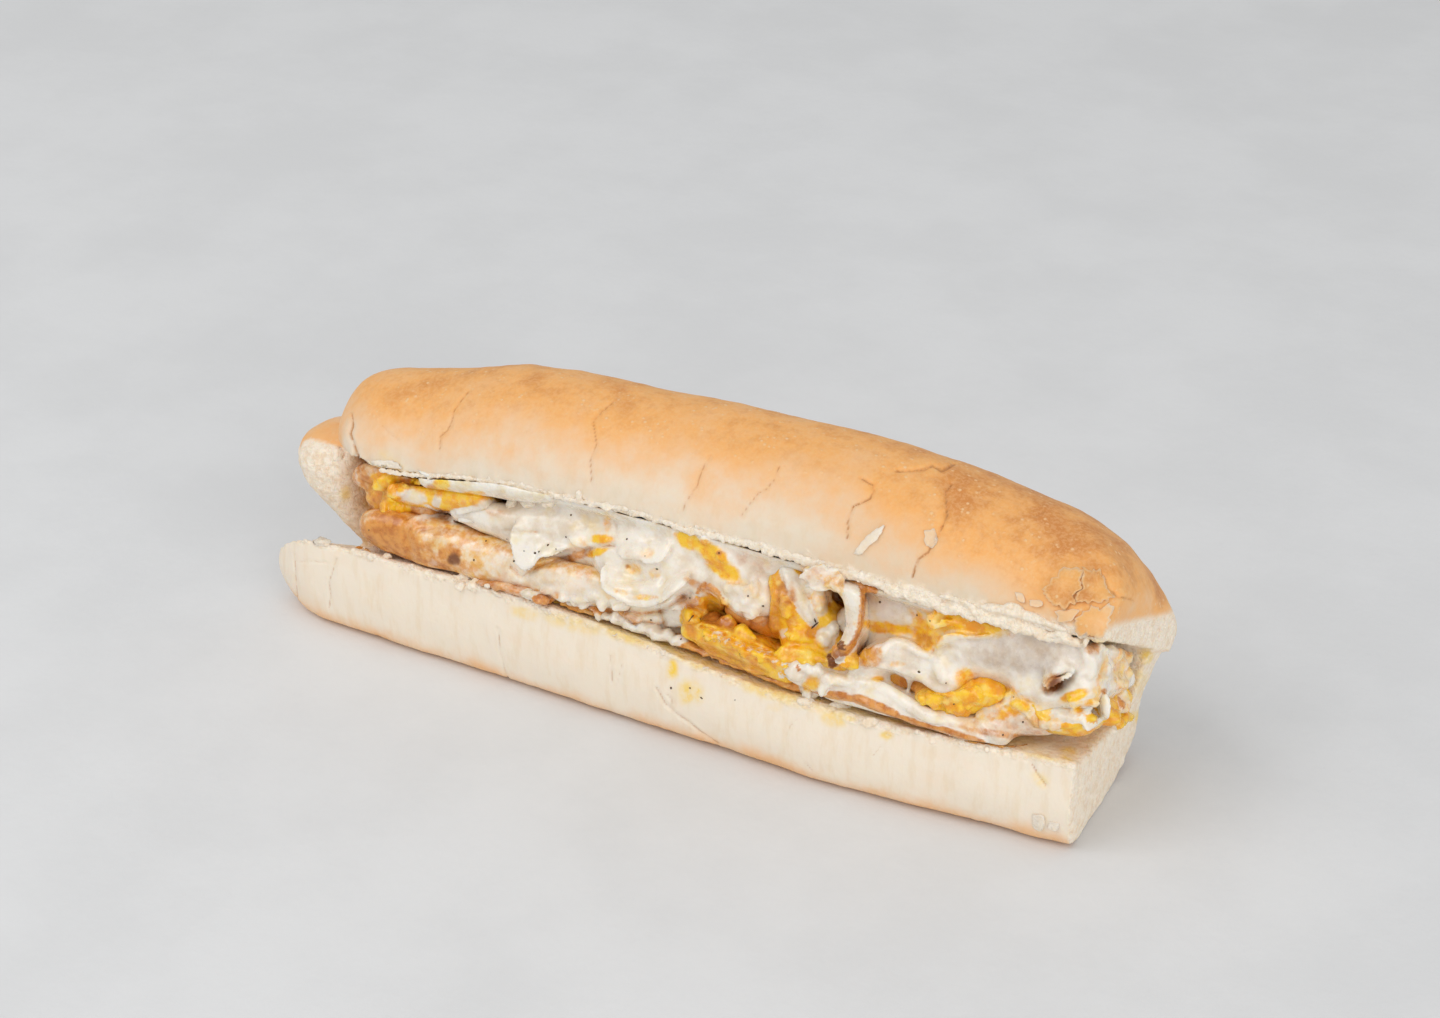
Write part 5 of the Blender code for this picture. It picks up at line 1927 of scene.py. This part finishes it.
CURDS = (
    beads(((704, 633), (717, 637), (735, 645), (752, 652), (775, 660), (788, 668)), 6, 18, Tint.YOLK, 2.0,
        0.5)
    + beads(((712, 634), (735, 643), (752, 650), (775, 659)), 3, 9, Tint.CREAM, 2.2, 0.4)
    + beads(((690, 617), (702, 613), (714, 615), (726, 621), (738, 628), (752, 637)), 7, 12, Tint.YOLK, 1.9,
        0.5)
    + beads(((728, 592), (738, 588), (748, 596), (742, 606), (752, 614), (762, 618)), 6, 12, Tint.WHITE,
        1.9)
    + beads(((560, 596), (580, 604), (600, 612), (620, 620), (640, 628), (660, 634), (676, 640)), 6, 18)
    + beads(((804, 568), (815, 574), (828, 578), (838, 584), (826, 592), (812, 590)), 7, 10, Tint.CREAM,
        1.8, 0.5)
    + beads(((922, 700), (936, 698), (950, 700), (966, 697), (979, 692), (962, 708)), 6, 13, Tint.YOLK, 1.8)
    + beads(((985, 712), (1000, 704), (1015, 700), (1030, 706), (1040, 718), (1055, 724)), 7, 12,
        Tint.CREAM, 1.6)
    + beads(((1070, 704), (1085, 700), (1098, 706), (1090, 716), (1076, 714)), 6, 9, Tint.CREAM, 1.6)
    + beads(((1092, 716), (1106, 712), (1120, 716), (1130, 716)), 7, 8, Tint.YOLK, 1.8)
    + beads(((380, 482), (392, 480), (400, 488), (390, 498), (398, 507)), 8, 11, Tint.YOLK, 1.8)
    + beads(((786, 664), (798, 662), (812, 670), (826, 678), (815, 690)), 9, 9, Tint.WHITE, 2.4, 0.3)
    + beads(((700, 598), (712, 604), (722, 610)), 6, 6, Tint.YOLK, 1.6)
    + beads(((862, 660), (872, 654), (880, 646)), 6, 5, Tint.CREAM, 1.2)
    + beads(((1120, 655), (1126, 668), (1122, 682), (1126, 696), (1118, 708)), 7, 10, Tint.CREAM, 1.6)
    + beads(((1100, 646), (1108, 660), (1104, 676)), 7, 6, Tint.WHITE, 1.6)
    # painted shade: brown beads set in the shaded gap under the upper lip
    + beads(((842, 574), (852, 580), (868, 588)), 6, 6, Tint.BROWN, 1.2, 0.5)
)

EGG_PAINTS = {
    Tint.WHITE: {},
    Tint.CREAM: {"yolk": 0.4},
    Tint.YOLK: {"yolk": 1.0},
    Tint.BROWN: {"brown": 0.9},
    Tint.CHAR: {"brown": 1.0, "char": 0.85},
}


@dataclass
class Filling:
    """The folded fried egg: its masses, with the flaps, strands and curds that grow out of them."""

    sight: Sight
    shape: RollShape
    most_triangles: int = 150_000
    paint_reach: tuple[float, float] = (0.45, 1.0)
    hollow_rounds: int = 40

    def build(self, bread: list[Piece]) -> list[Piece]:
        """Every mass with what lies on it, sculpted, painted and seated.

        Args:
            bread: what the smallest bits lie on beside the egg.

        Returns:
            The pieces.
        """
        finishes = {slot: EggFinish(slot.value).make() for slot in Slot if slot is not Slot.BREAD}
        pieces = [mass.build(self.shape, self.sight, seed) for seed, mass in enumerate(MASSES)]
        ground = Ground(self.sight, pieces, bread)
        heaps = [Heap() for _ in MASSES]
        for seed, item in enumerate(FLAPS + ROPES + LUMPS + CURDS):
            points, faces, rim = item.shape(ground, seed)
            heaps[ground.owner(item.spots())].add(points, faces, self.tint(item, rim))
        for seed, (mass, obj, heap) in enumerate(zip(MASSES, pieces, heaps)):
            obj.data.materials.append(finishes[mass.slot])
            if heap.count:
                small = heap.build("small", finishes[mass.slot], self.sight)
                join(obj, [small])
            even_out(obj, mass.voxel, 2)
            skin = Skin(obj, self.sight)
            skin.push(mass.rough * Grain(1.5, 3, 91 + seed).at(skin.co))
            self.crease(skin, mass.name)
            self.paint(skin, mass, heap, seed)
            thin_out(obj, self.most_triangles)
            obj.data.shade_smooth()
            seat(obj, mass.slot, *(fold.name for fold in mass.folds if fold.name))
        return pieces

    @staticmethod
    def tint(item: Flap | Rope | Lump, rim: Array) -> dict[str, Array]:
        """The paints of a small shape.

        Args:
            item: the shape.
            rim: how near each point is to the rim.

        Returns:
            Values a point by name.
        """
        paints = {name: np.zeros(len(rim)) for name in PAINTS}
        for name, value in EGG_PAINTS[item.tint].items():
            paints[name] += value
        if item.edge is not None:
            for name, value in EGG_PAINTS[item.edge].items():
                paints[name] = np.maximum(paints[name], value * rim)
        return paints

    def crease(self, skin: Skin, name: str) -> None:
        """Presses in and raises what the photograph shows on a mass.

        Args:
            skin: the mass's points.
            name: the mass.
        """
        for crease in CREASES:
            if crease.on and crease.on != name:
                continue
            chosen, distance = skin.near(crease.path, crease.width * 2.2)
            move = crease.height * bell(distance / (crease.width * 0.6))
            skin.co[chosen] += self.sight.back * move[:, None]
        skin.refresh()

    def paint(self, skin: Skin, mass: Mass, heap: Heap, seed: int) -> None:
        """The yolk, browning and charring, and painted shade in crevices and deep behind the lips.

        Args:
            skin: the mass's points.
            mass: which mass.
            heap: the small shapes on it, which keep their own paints.
            seed: for its own edges.
        """
        tints = {name: np.zeros(len(skin.co)) for name in PAINTS}
        tints["yolk"] += mass.yolk
        tints["brown"] += mass.brown
        if heap.count:
            near, share = heap.nearest(skin.co, *self.paint_reach)
            for name, values in tints.items():
                values += share * (heap.painted(name)[near] - values)
        warp = Grain(1.8, 3, 121 + seed).at(skin.co)
        for patch in PATCHES:
            if patch.on and patch.on != mass.name:
                continue
            amount = patch.over(skin.pixels, warp)
            if patch.tint is Tint.WHITE:
                for values in tints.values():
                    values *= 1 - amount
            else:
                values = tints[patch.tint.value]
                np.maximum(values, amount, out=values)
        x, y = skin.co[:, 0] + MIDDLE[0], skin.co[:, 1] + MIDDLE[1]
        # painted shade: brown and yolk colour in crevices and on egg deeper behind the lips
        behind = y - (self.shape.lower_lip(x)[:, 0] + self.shape.upper_lip(x)[:, 0]) / 2
        crevice_shade = ramp(0.06, 0.6, skin.hollow(self.hollow_rounds)) * ramp(-1.5, 1.5, behind)
        shown = ramp(97, 84, x)
        tints["brown"] += (1 - tints["brown"]) * (0.5 * crevice_shade + 0.5 * ramp(3.5, 11, behind)) * shown
        tints["yolk"] += (1 - tints["yolk"]) * 0.3 * crevice_shade
        for name, values in tints.items():
            skin.paint(name, values)


@dataclass(frozen=True)
class Crumbs:
    """Bread crumbs torn up along the lips, and pepper on the egg."""

    sight: Sight
    shape: RollShape
    low_lip: tuple[tuple[float, float, int], ...] = ((-78, -20, 80), (-20, 40, 30), (40, 96, 20))
    high_lip: tuple[tuple[float, float, int], ...] = ((-72, -30, 20), (-30, 25, 30), (25, 96, 80))
    voxel: float = 0.33
    pale: float = 0.9
    lumps: tuple[Lump, ...] = (
        *lumps(Tint.WHITE, 0.5, (387, 557, 5, 4, 1)),
        *lumps(Tint.WHITE, 0.45, (466, 577, 7, 9, 1.4), (474, 585, 7, 7, 1.2), (461, 586, 6, 5, 1)),
        *lumps(Tint.WHITE, 0.5,
            (498, 594, 4, 3, 0.8), (512, 505, 6, 6, 1), (530, 503, 8, 5, 1), (548, 503, 6, 5, 1),
        ),
        *lumps(Tint.WHITE, 0.4,
            (951, 608, 5, 4, 1), (976, 612, 6, 4, 1), (995, 620, 4, 6, 1), (1028, 628, 4, 6, 1),
            (1062, 634, 7, 3, 0.8), (1078, 640, 6, 3, 0.8),
        ),
        *lumps(Tint.WHITE, 0.5, (840, 706, 12, 6, 0.8), (806, 702, 10, 5, 0.8), (870, 722, 9, 5, 0.7)),
    )
    ridge: tuple[Rope, ...] = (
        *ropes(Tint.WHITE, 0.5,
            (10, 1.6, 980, 606, 998, 609, 1012, 612, 1027, 615, 1046, 620),
            (7, 1.2, 1018, 616, 1034, 620, 1050, 624, 1066, 630),
            (9, 2.2, 1040, 632, 1056, 637, 1070, 641, 1084, 645),
        ),
        *ropes(Tint.WHITE, 0.4,
            (6, 0.9, 840, 573, 855, 576, 872, 582, 890, 588, 912, 597, 935, 603, 960, 611, 985, 617),
        ),
        *ropes(Tint.WHITE, 0.3, (4, 1, 1004, 605, 1012, 604, 1024, 609)),
        *ropes(Tint.WHITE, 0.35, (6, 0.9, 938, 596, 952, 598, 966, 603, 980, 611)),
    )
    fringe: Path = pairs(
        380, 470, 409, 475, 455, 477, 490, 482, 524, 486, 570, 500, 614, 507, 658, 519, 681, 529, 712, 536,
        744, 542, 777, 552, 803, 560, 842, 573, 863, 577, 886, 587, 909, 596, 932, 603, 955, 610, 989, 619,
        1024, 628, 1058, 638, 1086, 642,
    )
    specks: Path = pairs(
        507, 539, 524, 551, 535, 553, 539, 552, 514, 561, 548, 545, 566, 537, 571, 515, 556, 549, 627, 539,
        645, 556, 657, 569, 719, 553, 704, 636, 729, 640, 740, 654, 700, 619, 681, 639, 675, 647, 651, 620,
        690, 598, 917, 615, 930, 621, 880, 602, 919, 672, 946, 683, 954, 704, 1023, 722, 1014, 697,
        549, 604, 553, 603, 530, 600, 369, 530, 486, 541, 474, 560, 820, 700, 763, 606, 748, 596, 1003, 735,
        838, 644, 690, 688, 671, 688, 735, 700,
    )
    dashes: tuple[Rope, ...] = (
        *ropes(Tint.CHAR, 0.12,
            (1.6, 0.4, 688, 622, 691, 618, 694, 615), (1.6, 0.4, 811, 629, 815, 625, 819, 622),
            (1.4, 0.4, 814, 618, 816, 623), (1.4, 0.3, 700, 697, 703, 699),
        ),
    )

    def build(self, pieces: list[Piece]) -> list[Piece]:
        """The crumbs and the pepper, seated.

        Args:
            pieces: what they lie on.

        Returns:
            The new pieces.
        """
        ground = Ground(self.sight, pieces)
        crumbs = self.bread(ground)
        seat(crumbs, Slot.BREAD)
        pepper = self.pepper(ground)
        seat(pepper, Slot.BROWNED)
        return [crumbs, pepper]

    def bread(self, ground: Ground) -> Piece:
        """Crumbs of bread along both lips.

        Args:
            ground: the bread and the egg.

        Returns:
            The crumbs, grown together where they touch.
        """
        chance = np.random.default_rng(7)
        heap = Heap()
        ball, faces = Lump.ball(2)
        for lip, spans in ((self.shape.lower_lip, self.low_lip), (self.shape.upper_lip, self.high_lip)):
            for start, end, count in spans:
                x = chance.uniform(start, end, count)
                edge = lip(x)
                spots = np.stack((x - MIDDLE[0], edge[:, 0] - MIDDLE[1], edge[:, 1]), axis=1)
                pixels = self.sight.pixels(spots) + chance.normal(0, (2.0, 2.2), (count, 2))
                depth = ground.depth(pixels)
                for pixel, deep, size in zip(pixels, depth, chance.gamma(2.5, 0.1, count) + 0.12):
                    form = 1 + 0.45 * Grain(0.6, 2, int(chance.integers(1, 9000))).at(ball)
                    stretch = chance.uniform(0.6, 1.3, 3)
                    points = self.sight.at(pixel, deep + 0.1) + ball * form[:, None] * stretch * size
                    heap.add(points, faces, {"crumb": 1.0, "soak": 0.0})
        self.hang(heap, ground, chance)
        for seed, item in enumerate(self.lumps + self.ridge):
            points, item_faces, _ = item.shape(ground, 40 + seed)
            heap.add(points, item_faces, {"crumb": 0.75})
        crumbs = heap.build("bread_crumbs", BreadFinish().make(), self.sight)
        even_out(crumbs, self.voxel, 2)
        crumbs.data.shade_smooth()
        Skin(crumbs, self.sight).paint("crumb", np.full(len(crumbs.data.vertices), self.pale))
        return crumbs

    def hang(self, heap: Heap, ground: Ground, chance: np.random.Generator) -> None:
        """Torn crumb that hangs from the upper lip over the egg.

        Args:
            heap: what it goes into.
            ground: the bread and the egg.
            chance: what strews it.
        """
        ball, faces = Lump.ball(2)
        line = smooth_path(self.fringe, 1.3)
        depth = blur(ground.depth(line - (0.0, 5.0)), 6)
        for _ in range(3):
            for pixel, deep in zip(line, depth):
                right = float(ramp(560, 900, np.array(pixel[0])))
                drop = chance.uniform(-1.5 - right, 1.0 + 4.0 * right * chance.uniform(0, 1))
                size = chance.uniform(0.3, 0.42 + 0.43 * right) * chance.uniform(0.8, 1.2)
                form = 1 + 0.5 * Grain(0.6, 2, int(chance.integers(1, 9000))).at(ball)
                stretch = np.array((0.8, 0.8, 1.25)) * chance.uniform(0.75, 1.2, 3)
                spot = pixel + (chance.normal(0, 0.8), drop)
                points = self.sight.at(spot, np.array(deep + 0.5)) + ball * form[:, None] * stretch * size
                heap.add(points, faces, {"crumb": 1.0})

    def pepper(self, ground: Ground) -> Piece:
        """Specks of pepper on the egg.

        Args:
            ground: the bread and the egg.

        Returns:
            The specks.
        """
        chance = np.random.default_rng(11)
        heap = Heap()
        ball, faces = Lump.ball(1)
        pixels = np.array(self.specks, float)
        for pixel, deep in zip(pixels, ground.depth(pixels)):
            size = chance.uniform(0.16, 0.32)
            points = self.sight.at(pixel, deep) + ball * chance.uniform(0.6, 1.4, 3) * size
            heap.add(points, faces, {})
        for seed, dash in enumerate(self.dashes):
            points, dash_faces, _ = dash.shape(ground, seed)
            heap.add(points, dash_faces, {})
        return heap.build("pepper", PepperFinish().make(), self.sight)


@dataclass(frozen=True)
class Studio:
    """The floor and soft light round the food."""

    floor_size: float = 6.0
    key_place: Triple = (-0.5, -0.7, 1.1)
    key_size: float = 0.9
    key_power: float = 6.4
    fill_place: Triple = (1.1, -0.75, 0.5)
    fill_size: float = 1.1
    fill_power: float = 6.6
    sky: float = 0.58

    def light(self, name: str, place: Triple, size: float, power: float) -> None:
        """Hangs a soft square light that looks at the food.

        Args:
            name: the light's name.
            place: where it hangs, in metres.
            size: its side in metres.
            power: in watts.
        """
        data = bpy.data.lights.new(name, "AREA")
        data.shape, data.size, data.energy = "SQUARE", size, power
        aim(show(name, data), Vector(place), -Vector(place))

    def build(self) -> None:
        """The floor, the lights and the sky."""
        half = self.floor_size / 2 / MM
        corners = np.array(((-half, -half, 0), (half, -half, 0), (half, half, 0), (-half, half, 0)))
        floor = new_piece("floor", corners, [(0, 1, 2, 3)])
        floor.data.materials.append(FloorFinish().make())
        self.light("key", self.key_place, self.key_size, self.key_power)
        self.light("fill", self.fill_place, self.fill_size, self.fill_power)
        world = bpy.data.worlds.new("sky")
        world.use_nodes = True
        background = world.node_tree.nodes["Background"]
        background.inputs["Color"].default_value = (1.0, 1.0, 1.0, 1.0)
        background.inputs["Strength"].default_value = self.sky
        bpy.context.scene.world = world
        bpy.context.scene.view_settings.view_transform = "Standard"


def main() -> None:
    """Builds the sandwich and its studio in order."""
    logging.basicConfig(level=logging.INFO, format="%(name)s: %(message)s")
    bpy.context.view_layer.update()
    sight, shape = Sight(), RollShape()
    sight.make_camera()
    bread = Roll(sight, shape).build()
    egg = Filling(sight, shape).build(bread)
    Crumbs(sight, shape).build(bread + egg)
    Studio().build()


if __name__ == "__main__":
    main()
